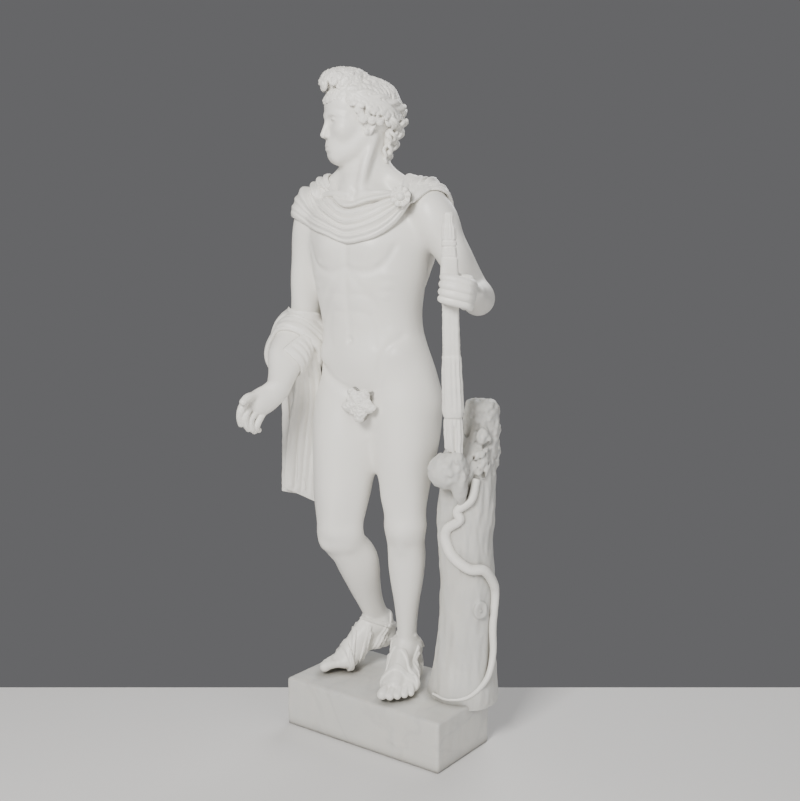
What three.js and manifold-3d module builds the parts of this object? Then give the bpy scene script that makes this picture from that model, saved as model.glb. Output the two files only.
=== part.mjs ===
// A life-size marble statue of a young god at rest, carved in one block with its plinth.
// He stands on his left leg, wears a short cloak and sandals, and holds an upright bow
// that stands on the ledge of a tree trunk with a snake on it.
// Millimetres, +Z up. The origin is the middle of the plinth's underside, the plinth's long
// front faces -Y, and the figure's own left side is towards +X.
import * as THREE from "three";
import { mergeVertices } from "three/addons/utils/BufferGeometryUtils.js";
import Module from "manifold-3d";

const wasm = await Module();
wasm.setup();
const { Manifold, Mesh } = wasm;

const V = (x, y, z) => new THREE.Vector3(x, y, z);
const UP = V(0, 0, 1);
const DEG = Math.PI / 180;
// A level direction, turned by some degrees from the front (-Y) towards +X.
const heading = (degrees) => V(Math.sin(degrees * DEG), -Math.cos(degrees * DEG), 0);

// Driving dimensions
const PLINTH = { width: 516, depth: 305, height: 136, cut: 62, rim: 3 };
const FLOOR = PLINTH.height;
const CHEST_TURN = 11.5;
const HEAD_TURN = -35;
const MARBLE = { color: 0xe6e3dc, roughness: 0.55, metalness: 0 };

const JOINTS = {
  hipL: V(33, 12, 946),
  kneeL: V(45, -4, 593),
  ankleL: V(14, 48, 222),
  hipR: V(-124, -30, 938),
  kneeR: V(-101, -100, 568),
  ankleR: V(-117, 88, 259),
  shoulderL: V(114, 10, 1429),
  elbowL: V(217, 86, 1203),
  wristL: V(280, -41, 1228),
  shoulderR: V(-236, -51, 1416),
  elbowR: V(-270, -51, 1115),
  wristR: V(-214, -208, 969),
  head: V(-80, -35, 1656),
};

// Solids from three.js geometry

function solid(geometry) {
  geometry.deleteAttribute("normal");
  geometry.deleteAttribute("uv");
  const merged = mergeVertices(geometry, 1e-3);
  return new Manifold(
    new Mesh({
      numProp: 3,
      vertProperties: merged.attributes.position.array,
      triVerts: new Uint32Array(merged.index.array),
    }),
  );
}

function geometryOf(body) {
  const mesh = body.getMesh();
  const geometry = new THREE.BufferGeometry();
  geometry.setAttribute("position", new THREE.BufferAttribute(mesh.vertProperties, 3));
  geometry.setIndex(new THREE.BufferAttribute(mesh.triVerts, 1));
  return geometry;
}

// The marble is whole: pockets left shut in where carved forms meet are filled, which leaves
// the outermost of the surface's separate skins.
function outerSkin(geometry) {
  const index = geometry.index.array;
  const parent = Array.from({ length: geometry.attributes.position.count }, (_, i) => i);
  const rootOf = (i) => {
    while (parent[i] !== i) i = parent[i] = parent[parent[i]];
    return i;
  };
  for (let i = 0; i < index.length; i += 3) {
    parent[rootOf(index[i + 1])] = rootOf(index[i]);
    parent[rootOf(index[i + 2])] = rootOf(index[i]);
  }
  const faces = new Map();
  for (let i = 0; i < index.length; i += 3) {
    const root = rootOf(index[i]);
    if (!faces.has(root)) faces.set(root, []);
    faces.get(root).push(index[i], index[i + 1], index[i + 2]);
  }
  const largest = [...faces.values()].sort((a, b) => b.length - a.length)[0];
  const skin = new THREE.BufferGeometry();
  skin.setAttribute("position", geometry.attributes.position);
  skin.setIndex(largest);
  return mergeVertices(skin.toNonIndexed(), 1e-4);
}

// A skin over rings: each ring has a middle, a side and a front direction, and the reach of its
// oval to the side, against the side, to the front and to the back, or a place of its own for
// each share of the way across and ahead. Rings run from the top down.
function loft(rings, sides) {
  const last = rings.length - 1;
  const geometry = new THREE.CylinderGeometry(1, 1, last, sides, last);
  const spot = geometry.attributes.position;
  for (let i = 0; i < spot.count; i++) {
    const ring = rings[Math.round(last / 2 - spot.getY(i))];
    const across = spot.getX(i);
    const ahead = spot.getZ(i);
    const p = ring.place ? ring.place(across, ahead) : onOval(ring, across, ahead);
    spot.setXYZ(i, p.x, p.y, p.z);
  }
  return solid(geometry);
}

function onOval(ring, across, ahead, out = 0) {
  const [left, right, front, back] = ring.reach;
  return ring.at
    .clone()
    .addScaledVector(ring.side, across * (across > 0 ? left : right))
    .addScaledVector(ring.front, ahead * (ahead > 0 ? front : back) + Math.sign(ahead) * out);
}

// A limb between two joints. Each station is [share of the way, left, right, front, back].
function limb(from, to, front, stations, sides) {
  const axis = from.clone().sub(to).normalize();
  const ahead = front.clone().addScaledVector(axis, -front.dot(axis)).normalize();
  const side = axis.clone().cross(ahead);
  const rings = stations.map(([share, ...reach]) => ({
    at: from.clone().lerp(to, share),
    side,
    front: ahead,
    reach,
  }));
  return loft(rings, sides);
}

// A tapering tube through points. radius(share) gives its thickness, flat squeezes it one way.
function tube(points, radius, steps, sides, flat = 1) {
  const curve = new THREE.CatmullRomCurve3(points);
  const { normals, binormals } = curve.computeFrenetFrames(steps);
  const rings = normals.map((side, i) => {
    const r = radius(i / steps);
    return {
      at: curve.getPointAt(i / steps),
      side,
      front: binormals[i],
      reach: [r, r, r * flat, r * flat],
    };
  });
  return loft(rings, sides);
}

// An oval ball with its three reaches along side, front and up.
function ball(at, reach, front = heading(0), up = UP, columns = 10, rows = 7) {
  const ahead = front.clone().normalize();
  const side = up.clone().cross(ahead).normalize();
  const over = ahead.clone().cross(side);
  const geometry = new THREE.SphereGeometry(1, columns, rows);
  geometry.scale(reach[0], reach[2], reach[1]);
  geometry.applyMatrix4(new THREE.Matrix4().makeBasis(side, over, ahead).setPosition(at));
  return solid(geometry);
}

// A skin round one middle: reach(left, ahead, up) gives how far it stands out that way.
function skinRound(middle, front, reach, columns, rows) {
  const side = UP.clone().cross(front);
  const geometry = new THREE.SphereGeometry(1, columns, rows);
  const spot = geometry.attributes.position;
  for (let i = 0; i < spot.count; i++) {
    const [left, up, ahead] = [spot.getX(i), spot.getY(i), spot.getZ(i)];
    const out = reach(left, ahead, up);
    const p = middle
      .clone()
      .addScaledVector(side, left * out)
      .addScaledVector(front, ahead * out)
      .addScaledVector(UP, up * out);
    spot.setXYZ(i, p.x, p.y, p.z);
  }
  return solid(geometry);
}

const join = (bodies) => bodies.reduce((whole, body) => whole.add(body));
const swell = (low, high) => (share) => low + (high - low) * Math.sin(Math.PI * share);
const taper = (start, end) => (share) => start + (end - start) * share;

// Plinth

function plinth() {
  const { width, depth, height, cut, rim } = PLINTH;
  const x = width / 2 - rim;
  const y = depth / 2 - rim;
  const outline = new THREE.Shape();
  outline.moveTo(-x, -y);
  outline.lineTo(x, -y);
  outline.lineTo(x, y - cut);
  outline.quadraticCurveTo(x - cut * 0.15, y - cut * 0.15, x - cut, y);
  outline.lineTo(-x, y);
  outline.closePath();
  const geometry = new THREE.ExtrudeGeometry(outline, {
    depth: height - 2 * rim,
    bevelThickness: rim,
    bevelSize: rim,
    bevelSegments: 1,
    curveSegments: 5,
  });
  geometry.translate(0, 0, rim);
  return solid(geometry);
}

// Legs

const THIGH_L = [
  [-0.24, 30, 30, 30, 40],
  [-0.12, 66, 60, 70, 78],
  [0.0, 90, 80, 87, 94],
  [0.12, 98, 87, 92, 95],
  [0.3, 94, 86, 91, 89],
  [0.5, 80, 77, 85, 81],
  [0.68, 66, 65, 76, 71],
  [0.82, 57, 56, 66, 64],
  [0.93, 53, 52, 61, 56],
  [1.08, 49, 48, 50, 50],
];
const THIGH_R = [
  [-0.24, 30, 30, 30, 40],
  [-0.12, 60, 64, 68, 78],
  [0.0, 78, 88, 86, 92],
  [0.12, 86, 94, 92, 95],
  [0.3, 83, 88, 92, 89],
  [0.5, 76, 78, 87, 81],
  [0.68, 69, 69, 82, 74],
  [0.82, 62, 62, 74, 66],
  [0.94, 57, 57, 69, 56],
  [1.06, 47, 47, 52, 46],
];
const SHIN = [
  [-0.04, 46, 46, 52, 46],
  [0.06, 50, 49, 54, 52],
  [0.16, 50, 49, 48, 58],
  [0.3, 50, 47, 46, 68],
  [0.45, 45, 42, 42, 62],
  [0.65, 33, 31, 37, 45],
  [0.84, 26, 25, 33, 37],
  [1.0, 29, 28, 34, 40],
  [1.12, 26, 26, 34, 42],
];

function legs() {
  const { hipL, kneeL, ankleL, hipR, kneeR, ankleR } = JOINTS;
  return join([
    limb(hipL, kneeL, heading(18), THIGH_L, 10),
    limb(kneeL, ankleL, heading(22), SHIN, 9),
    limb(hipR, kneeR, heading(-22), THIGH_R, 10),
    limb(kneeR, ankleR, heading(-30), SHIN, 9),
  ]);
}

// Feet in sandals. A foot lies along a line from heel to toe tips.

// Each station is [share of the way, inner side, outer side, top, bottom], with the sandal's
// straps standing out at every second one over the instep.
const FOOT = [
  [0.0, 16, 16, 20, 26],
  [0.06, 31, 31, 48, 27],
  [0.2, 38, 38, 66, 28],
  [0.34, 44, 44, 67, 28],
  [0.41, 38, 38, 52, 28],
  [0.48, 45, 45, 56, 28],
  [0.55, 43, 42, 42, 28],
  [0.62, 50, 49, 42, 28],
  [0.69, 48, 47, 30, 26],
  [0.75, 54, 52, 30, 24],
  [0.81, 52, 49, 22, 22],
  [0.87, 46, 43, 15, 18],
];
// Each toe is [sideways from the foot's line, share where it starts, share of its tip, radius].
const TOES = [
  [-33, 0.78, 1, 15],
  [-9, 0.78, 0.98, 11],
  [10, 0.76, 0.94, 10],
  [27, 0.74, 0.88, 9.5],
  [41, 0.7, 0.81, 9],
];

// mirror is 1 on the left foot and -1 on the right one.
function foot(path, mirror) {
  const curve = new THREE.CatmullRomCurve3(path);
  const frameAt = (share) => {
    const along = curve.getTangentAt(Math.min(share, 1));
    const side = UP.clone().cross(along).multiplyScalar(mirror).normalize();
    const top = along.clone().cross(side).multiplyScalar(mirror).normalize();
    return { at: curve.getPointAt(Math.min(share, 1)), along, side, top };
  };
  const rings = FOOT.map(([share, inner, outer, top, bottom]) => {
    const frame = frameAt(share);
    const reach = mirror > 0 ? [outer, inner, top, bottom] : [inner, outer, top, bottom];
    const side = frame.side.clone().multiplyScalar(mirror);
    return { at: frame.at, side, front: frame.top, reach };
  });
  const toes = TOES.map(([offset, start, tip, radius]) => {
    const root = frameAt(start);
    const end = frameAt(tip);
    const from = root.at.clone().addScaledVector(root.side, offset * 0.9);
    const to = end.at.clone().addScaledVector(end.side, offset);
    const middle = from.clone().lerp(to, 0.5).addScaledVector(root.top, radius * 0.55);
    const girth = (share) => radius * (0.75 + 0.25 * Math.sin(Math.PI * share));
    return tube([from, middle, to], girth, 2, 5);
  });
  return join([loft(rings, 8), ...toes]);
}

const SOLE_RISE = 27;
const FOOT_L = [
  V(-12, 92, FLOOR + SOLE_RISE),
  V(26, 18, FLOOR + SOLE_RISE),
  V(64, -55, FLOOR + SOLE_RISE - 2),
  V(100, -140, FLOOR + 17),
];
const FOOT_R = [
  V(-102, 126, 220),
  V(-134, 64, 192),
  V(-170, -8, FLOOR + SOLE_RISE),
  V(-224, -68, FLOOR + 17),
];

function feet() {
  const heelBlock = ball(V(-128, 50, FLOOR + 16), [32, 36, 44], heading(-30), UP, 8, 6);
  return join([foot(FOOT_L, 1), foot(FOOT_R, -1), heelBlock]);
}

// Trunk of the body. Each level is [height, middle x, middle y, left, right, front, back].

const TORSO = [
  [1512, -75, -26, 40, 40, 40, 40],
  [1474, -72, -26, 82, 80, 60, 72],
  [1452, -69, -24, 122, 120, 70, 82],
  [1426, -65, -22, 152, 148, 86, 94],
  [1395, -63, -20, 166, 163, 98, 102],
  [1335, -62, -20, 166, 163, 106, 108],
  [1275, -62, -20, 157, 156, 106, 106],
  [1200, -60, -18, 145, 146, 100, 96],
  [1160, -58, -16, 140, 141, 96, 90],
  [1120, -55, -15, 141, 139, 96, 88],
  [1080, -50, -14, 148, 144, 97, 90],
  [1040, -45, -13, 158, 152, 96, 94],
  [1000, -41, -11, 165, 158, 93, 98],
  [960, -38, -9, 169, 162, 90, 98],
  [920, -37, -7, 166, 160, 86, 92],
  [885, -36, -6, 140, 138, 76, 80],
  [858, -36, -5, 88, 88, 52, 60],
];
// Muscles that stand out of it, as [left, up, half width, half height, amount].
const FRONT_FORMS = [
  [66, 1342, 62, 46, 15],
  [-66, 1340, 62, 46, 15],
  [0, 1330, 14, 70, -8],
  [0, 1180, 12, 90, -5],
  [34, 1215, 26, 60, 5],
  [-34, 1215, 26, 60, 5],
  [10, 1060, 74, 56, 12],
  [122, 1040, 40, 30, 10],
  [-108, 1030, 40, 30, 8],
];
const BACK_FORMS = [
  [0, 1240, 20, 190, -12],
  [84, 1372, 60, 62, 10],
  [-84, 1372, 60, 62, 10],
  [92, 940, 66, 66, 34],
  [-70, 930, 66, 64, 32],
  [10, 925, 16, 62, -16],
];

function torso() {
  const front = heading(CHEST_TURN);
  const side = UP.clone().cross(front);
  const rings = TORSO.map(([z, x, y, ...reach]) => ({
    place: (across, ahead) => {
      const left = across * (across > 0 ? reach[0] : reach[1]);
      const shapes = ahead > 0 ? FRONT_FORMS : BACK_FORMS;
      const out = shapes.reduce((sum, [at, up, wide, high, amount]) => {
        const away = ((left - at) / wide) ** 2 + ((z - up) / high) ** 2;
        return sum + amount * Math.exp(-away) * Math.min(1, Math.abs(ahead) * 2);
      }, 0);
      return onOval({ at: V(x, y, z), side, front, reach }, across, ahead, out);
    },
  }));
  return loft(rings, 18);
}

// Arms and hands

const UPPER_ARM_L = [
  [-0.2, 18, 18, 20, 20],
  [-0.15, 40, 40, 42, 42],
  [-0.05, 54, 54, 54, 54],
  [0.08, 59, 59, 59, 59],
  [0.24, 54, 54, 56, 56],
  [0.45, 45, 45, 50, 50],
  [0.7, 40, 40, 45, 46],
  [0.9, 39, 39, 41, 42],
  [1.06, 34, 34, 34, 36],
];
// The right shoulder slopes more, because that arm hangs.
const UPPER_ARM_R = [
  [-0.2, 16, 16, 16, 20],
  [-0.15, 34, 30, 32, 40],
  [-0.05, 46, 39, 41, 50],
  [0.08, 52, 42, 45, 54],
  [0.24, 51, 42, 46, 54],
  [0.45, 45, 38, 43, 50],
  [0.7, 40, 34, 39, 46],
  [0.9, 39, 34, 37, 42],
  [1.06, 34, 34, 34, 36],
];
const FOREARM = [
  [-0.1, 30, 30, 30, 30],
  [0.04, 41, 41, 42, 42],
  [0.25, 43, 43, 44, 44],
  [0.5, 38, 38, 40, 40],
  [0.78, 30, 30, 29, 29],
  [1.0, 31, 31, 24, 24],
  [1.12, 34, 34, 22, 22],
];

function finger(points, radius) {
  return tube(points, (share) => radius * (1.04 - 0.2 * share), 3, 5);
}

// The left hand closes round the bow's grip, its knuckles to the right of the bow.
function fist(grip) {
  const across = V(0.8, 0.6, 0);
  const nearer = V(0.6, -0.8, 0);
  const place = (side, ahead, up) =>
    grip.clone().addScaledVector(across, side).addScaledVector(nearer, ahead).setZ(grip.z + up);
  const fingers = [25, 8, -9, -26].map((up, i) => {
    return finger(
      [
        place(46, 8, up - 4),
        place(24, 27, up - 2),
        place(-8, 30, up),
        place(-24, 14, up),
        place(-20, -10, up),
      ],
      12 - i * 0.4,
    );
  });
  const thumb = finger([place(36, -16, 16), place(8, -30, 30), place(-16, -24, 34)], 12);
  const palm = ball(place(34, -10, 0), [24, 30, 44], nearer, UP, 8, 6);
  return join([palm, thumb, ...fingers]);
}

// The open right hand hangs half closed, thumb to the front.
function openHand(wrist) {
  const knuckles = [
    V(-227, -286, 936),
    V(-223, -274, 922),
    V(-218, -260, 910),
    V(-212, -245, 901),
  ];
  const fingers = knuckles.map((knuckle, i) => {
    const bent = knuckle.clone().add(V(-7, -27 + i * 3, -12 - i * 4));
    const tip = bent.clone().add(V(-1, 5 + i * 2, -28 + i * 3));
    return finger([wrist.clone().lerp(knuckle, 0.7), knuckle, bent, tip], 12 - i * 0.6);
  });
  const thumb = finger([V(-219, -232, 966), V(-222, -286, 957), V(-228, -328, 944)], 12);
  const axis = wrist.clone().sub(V(-221, -270, 917));
  const palm = ball(
    wrist.clone().lerp(V(-221, -270, 917), 0.55),
    [22, 42, 52],
    heading(0),
    axis,
    8,
    6,
  );
  return join([palm, thumb, ...fingers]);
}

const GRIP = V(259, -107, 1237);

function arms() {
  const { shoulderL, elbowL, wristL, shoulderR, elbowR, wristR } = JOINTS;
  return join([
    limb(shoulderL, elbowL, heading(60), UPPER_ARM_L, 10),
    limb(elbowL, wristL, UP, FOREARM, 8),
    limb(shoulderR, elbowR, heading(-20), UPPER_ARM_R, 10),
    limb(elbowR, wristR, heading(-90), FOREARM, 8),
    fist(GRIP),
    openHand(wristR),
  ]);
}

// Neck, head and hair

const HEAD = [
  [112, 14, 14, 12, 18],
  [104, 42, 42, 42, 50],
  [84, 62, 62, 66, 76],
  [55, 72, 72, 81, 90],
  [22, 74, 74, 87, 93],
  [4, 71, 71, 79, 90],
  [-22, 67, 67, 80, 80],
  [-44, 61, 61, 78, 62],
  [-66, 49, 49, 77, 38],
  [-84, 31, 31, 74, 12],
  [-97, 14, 14, 62, -30],
];

// A place in the head's own frame: left, front and up from the middle of the skull.
function onHead(left, ahead, up) {
  const front = heading(HEAD_TURN);
  const side = UP.clone().cross(front);
  return JOINTS.head
    .clone()
    .addScaledVector(side, left)
    .addScaledVector(front, ahead)
    .addScaledVector(UP, up);
}

// The muscles that slope from the neck to the left shoulder and to the right one.
const NECK_SLOPES = [
  [V(-36, -10, 1546), V(14, 4, 1500), V(96, 14, 1452)],
  [V(-112, -30, 1540), V(-156, -40, 1500), V(-210, -48, 1444)],
];

function head() {
  const front = heading(HEAD_TURN);
  const side = UP.clone().cross(front);
  const rings = HEAD.map(([up, ...reach]) => ({ at: onHead(0, 0, up), side, front, reach }));
  const nose = [
    { at: onHead(0, 78, 18), side, front, reach: [7, 7, 10, 4] },
    { at: onHead(0, 80, -8), side, front, reach: [8, 8, 18, 6] },
    { at: onHead(0, 80, -30), side, front, reach: [12, 12, 24, 6] },
    { at: onHead(0, 80, -40), side, front, reach: [13, 13, 14, 6] },
  ];
  const socket = (left) => ball(onHead(left, 92, 3), [17, 13, 10], front, UP, 8, 5);
  const eye = (left) => ball(onHead(left, 68, 2), [14, 12, 8], front, UP, 6, 4);
  const lips = ball(onHead(0, 76, -60), [20, 10, 9], front, UP, 7, 5);
  const chin = ball(onHead(0, 64, -84), [20, 18, 14], front, UP, 7, 5);
  const face = loft(rings, 16).subtract(socket(31)).subtract(socket(-31));
  const neck = tube(
    [V(-72, -22, 1420), V(-76, -22, 1490), onHead(0, -14, -50)],
    taper(68, 58),
    3,
    12,
  );
  const slopes = NECK_SLOPES.map((places) => tube(places, taper(26, 36), 3, 8));
  return join([
    face,
    loft(nose, 6),
    eye(31),
    eye(-31),
    lips,
    chin,
    neck,
    ...slopes,
    hair(),
  ]);
}

// Masses of hair as [left, ahead, up, reach aside, reach ahead, reach up, curls round it,
// curls from top to bottom, how far they stand out, columns, rows].
const HAIR = [
  [0, -14, 30, 80, 88, 80, 6, 4, 6, 20, 14],
  [0, 38, 100, 58, 70, 44, 8, 2, 8, 16, 8],
  [0, 36, 74, 66, 60, 26, 10, 1, 6, 20, 5],
  [0, -76, -60, 50, 28, 70, 5, 3, 9, 10, 12],
];

function hair() {
  const masses = HAIR.map(([left, ahead, up, aside, forward, high, round, down, out, ...grid]) => {
    const reach = (l, a, u) => {
      const curl = Math.cos(Math.atan2(a, l) * round) * Math.sin(Math.acos(u) * down * 2);
      return 1 / Math.hypot(l / aside, a / forward, u / high) + out * curl;
    };
    return skinRound(onHead(left, ahead, up), heading(HEAD_TURN), reach, ...grid);
  });
  return join(masses);
}

// Cloak

// A sheet of folded cloth between two edges, listed as pairs of places along its length, with
// ridges that run lengthwise.
function cloth(edges, ridges, thick, deep) {
  const middles = edges.map(([a, b]) => a.clone().lerp(b, 0.5));
  const rings = edges.map(([a, b], i) => {
    const before = middles[Math.max(0, i - 1)];
    const after = middles[Math.min(edges.length - 1, i + 1)];
    const along = before.clone().sub(after).normalize();
    const half = a.clone().sub(b).multiplyScalar(0.5);
    const out = along.clone().cross(half).negate().normalize();
    const end = i === 0 || i === edges.length - 1 ? 0.6 : 1;
    return {
      place: (across, ahead) => {
        const ridge = Math.cos(Math.atan2(across, ahead) * 2 * ridges);
        const depth = ahead * thick + Math.sign(ahead) * deep * ridge;
        return middles[i].clone().addScaledVector(half, across).addScaledVector(out, depth * end);
      },
    };
  });
  return loft(rings, 4 * ridges);
}

const BROOCH = V(85, -76, 1462);
// The cloth round the neck, from the brooch over the chest, the right shoulder and the back to
// the left shoulder: its edge at the neck and its hem.
const MANTLE = [
  [V(96, -52, 1466), V(104, -62, 1450)],
  [V(36, -66, 1462), V(72, -82, 1400)],
  [V(-14, -92, 1440), V(28, -116, 1362)],
  [V(-68, -108, 1432), V(-42, -132, 1348)],
  [V(-116, -92, 1456), V(-112, -134, 1366)],
  [V(-146, -66, 1492), V(-196, -108, 1390)],
  [V(-158, -20, 1510), V(-254, -86, 1414)],
  [V(-152, 24, 1510), V(-284, -26, 1412)],
  [V(-120, 58, 1504), V(-272, 46, 1402)],
  [V(-66, 72, 1500), V(-180, 108, 1380)],
  [V(-10, 56, 1496), V(-20, 116, 1370)],
  [V(30, 22, 1494), V(116, 92, 1400)],
  [V(50, -20, 1488), V(150, 40, 1462)],
  [V(70, -46, 1478), V(128, -20, 1478)],
];
// Down the back and in behind the right hip: its left and right edges.
const BACK_CLOTH = [
  [V(112, 60, 1470), V(-268, 40, 1462)],
  [V(100, 104, 1392), V(-288, 62, 1392)],
  [V(56, 112, 1300), V(-300, 74, 1300)],
  [V(14, 110, 1200), V(-304, 66, 1200)],
  [V(-40, 108, 1100), V(-304, 44, 1120)],
  [V(-104, 100, 1010), V(-296, 14, 1060)],
  [V(-158, 78, 940), V(-284, -14, 1010)],
];
const HANGING_CLOTH = [
  [V(-196, 6, 1080), V(-318, -96, 1104)],
  [V(-206, 10, 1000), V(-324, -94, 1010)],
  [V(-214, 8, 880), V(-318, -92, 890)],
  [V(-218, 8, 760), V(-322, -90, 764)],
  [V(-216, 12, 630), V(-326, -90, 654)],
];
// Over the right forearm: each place is the cloth's middle, and it reaches to both sides along
// the forearm.
const WRAP = [
  V(-166, 36, 960),
  V(-178, -14, 1040),
  V(-208, -62, 1106),
  V(-262, -94, 1140),
  V(-316, -108, 1120),
  V(-340, -112, 1066),
  V(-328, -98, 1004),
];
const WRAP_REACH = [36, 44, 48, 48, 48, 44, 34];

function cloak() {
  const forearm = JOINTS.elbowR.clone().sub(JOINTS.wristR).normalize();
  const wrap = WRAP.map((middle, i) =>
    [WRAP_REACH[i], -WRAP_REACH[i]].map((reach) => middle.clone().addScaledVector(forearm, reach)),
  );
  const collar = tube(
    [V(60, -56, 1476), V(-6, -84, 1462), V(-66, -100, 1448), V(-122, -76, 1478), V(-150, -26, 1516)],
    swell(8, 12),
    7,
    5,
  );
  return join([
    cloth(MANTLE, 4, 14, 8),
    cloth(BACK_CLOTH, 3, 18, 8),
    cloth(HANGING_CLOTH, 3, 18, 9),
    cloth(wrap, 3, 17, 7),
    collar,
    clasp(BROOCH),
  ]);
}

// A round brooch with a border of petals.
function clasp(at) {
  const PETALS = 9;
  const front = V(0.5, -0.84, 0.22).normalize();
  const outline = new THREE.Shape();
  for (let i = 0; i <= PETALS * 2; i++) {
    const turn = (i / (PETALS * 2)) * 2 * Math.PI;
    const r = 24 + 3 * Math.cos(turn * PETALS);
    if (i) outline.lineTo(r * Math.cos(turn), r * Math.sin(turn));
    else outline.moveTo(r, 0);
  }
  const geometry = new THREE.ExtrudeGeometry(outline, { depth: 22, bevelEnabled: false });
  const side = UP.clone().cross(front).normalize();
  const over = front.clone().cross(side);
  const middle = at.clone().addScaledVector(front, 2);
  geometry.applyMatrix4(new THREE.Matrix4().makeBasis(side, over, front).setPosition(middle));
  const boss = ball(at.clone().addScaledVector(front, 24), [13, 9, 13], front, UP, 8, 5);
  return solid(geometry).add(boss);
}

// Fig leaf

const LEAF = { middle: V(-14, -112, 942), half: 42, tall: 54, thick: 24, lobes: 5 };

function leaf() {
  const reach = (left, ahead, up) => {
    const turn = Math.atan2(left, -up);
    const lobed = 0.82 + 0.18 * Math.cos(turn * LEAF.lobes);
    const oval = Math.hypot(left / (LEAF.half * lobed), ahead / LEAF.thick, up / (LEAF.tall * lobed));
    return 1 / oval;
  };
  return skinRound(LEAF.middle, heading(14), reach, 15, 6);
}

// Tree trunk, ledge and snake

const TRUNK_MIDDLE = V(196, 71, 0);
// Each level is [height, radius, sideways shift].
const TRUNK = [
  [826, 54, 8],
  [780, 72, 2],
  [700, 75, 0],
  [600, 76, 0],
  [500, 76, 0],
  [400, 74, 0],
  [300, 76, -2],
  [220, 84, -4],
  [170, 93, -6],
  [FLOOR - 4, 96, -8],
];
// The broken upper part behind the ledge: [height, right, left, depth].
const STUB = [
  [934, 22, 26, 30],
  [922, 40, 46, 44],
  [880, 46, 48, 50],
  [830, 50, 48, 52],
  [780, 52, 50, 52],
];
const CAMERA_SIDE = 36.6;

// Knots and root bulges as [turn from the camera's side, height, spread, amount].
const KNOTS = [
  [14, 775, 26, 14],
  [26, 388, 24, 9],
  [-28, 172, 40, 18],
  [18, 168, 44, 14],
  [60, 560, 60, -8],
  [-50, 420, 70, -6],
  [150, 300, 60, 10],
  [-120, 600, 60, 8],
];

function trunk() {
  const front = heading(CAMERA_SIDE);
  const side = UP.clone().cross(front);
  const rings = TRUNK.map(([z, radius, shift]) => ({
    place: (across, ahead) => {
      const turn = Math.atan2(across, ahead) / DEG;
      const out = KNOTS.reduce((sum, [at, up, spread, amount]) => {
        const apart = Math.abs(((turn - at + 540) % 360) - 180) * DEG * radius;
        return sum + amount * Math.exp(-(apart ** 2 + (z - up) ** 2) / spread ** 2);
      }, 2.5 * Math.sin(turn * DEG * 7 + z / 90));
      const reach = ahead < 0 ? Math.min(radius, 80) : radius;
      return TRUNK_MIDDLE.clone()
        .add(V(shift, -shift * 0.5, z))
        .addScaledVector(side, across * (radius + out))
        .addScaledVector(front, ahead * (reach + out));
    },
  }));
  const stub = STUB.map(([z, right, left, deep]) => ({
    at: V(214, 106, z),
    side,
    front,
    reach: [right, left, deep, deep - 8],
  }));
  const knob = tube([V(212, 30, 762), V(206, -30, 768), V(200, -64, 766)], swell(34, 46), 4, 8);
  const branch = tube([V(224, -30, 792), V(232, -26, 740), V(228, -4, 668)], taper(30, 12), 4, 6);
  const eye = ball(V(244, 66, 850), [22, 24, 22], front, UP, 8, 6);
  return join([loft(rings, 14), loft(stub, 9), knob, branch, eye]);
}

// The snake's way down the trunk: [height, turn round the trunk from the camera's side, radius].
const SNAKE_WAY = [
  [744, 14, 72],
  [691, 4, 76],
  [659, -22, 77],
  [634, -18, 77],
  [606, -44, 77],
  [574, -48, 77],
  [534, -31, 77],
  [504, 0, 77],
  [496, 31, 76],
  [455, 58, 76],
  [414, 68, 76],
  [335, 58, 77],
  [263, 52, 84],
  [213, 36, 92],
  [182, 18, 96],
  [158, -4, 100],
  [150, -32, 104],
  [152, -58, 106],
];

function snake() {
  const points = SNAKE_WAY.map(([z, turn, radius]) =>
    TRUNK_MIDDLE.clone()
      .addScaledVector(heading(CAMERA_SIDE + turn), radius + 6)
      .setZ(z),
  );
  return tube(points, (share) => 7 + 9 * Math.sqrt(Math.sin(Math.PI * Math.min(1, share))), 26, 5);
}

// Bow: it runs up from the ledge, through the fist, to its horn beside the upper arm.

function bow() {
  const foot = V(222, -34, 806);
  const top = V(258, -120, 1424);
  const at = (share) => foot.clone().lerp(top, share);
  const across = V(0.8, 0.6, 0);
  const nearer = V(0.6, -0.8, 0);
  // Each stretch is [from, to, half width, half depth below, half depth above], as shares.
  const stretches = [
    [0, 0.075, 25, 16, 16],
    [0.07, 0.2, 28, 20, 24],
    [0.19, 0.44, 25, 24, 16],
    [0.42, 0.82, 22, 15, 15],
    [0.73, 0.83, 21, 17, 17],
    [0.82, 0.94, 19, 15, 15],
    [0.93, 1.0, 13, 12, 12],
  ];
  const parts = stretches.map(([from, to, half, below, above]) =>
    loft(
      [
        { at: at(to), side: across, front: nearer, reach: [half, half, above, above] },
        { at: at(from), side: across, front: nearer, reach: [half, half, below, below] },
      ],
      8,
    ),
  );
  return join(parts);
}

// The finished statue

function statue() {
  const body = join([
    plinth(),
    legs(),
    feet(),
    torso(),
    arms(),
    head(),
    cloak(),
    leaf(),
    trunk(),
    snake(),
    bow(),
  ]);
  const marble = new THREE.MeshStandardMaterial(MARBLE);
  const mesh = new THREE.Mesh(outerSkin(geometryOf(body)), marble);
  mesh.name = "statue";
  return mesh;
}

const group = new THREE.Group();
group.name = "greek_god_statue";
group.add(statue());

export default group;
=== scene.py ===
"""A life-size marble statue of a young god, carved in one block with its plinth.

Places are in millimetres in the frame of the solid: +Z up, the plinth's long front along -Y and
the figure's own left towards +X. They become metres when a mesh is made.
"""
import math
import random

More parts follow.
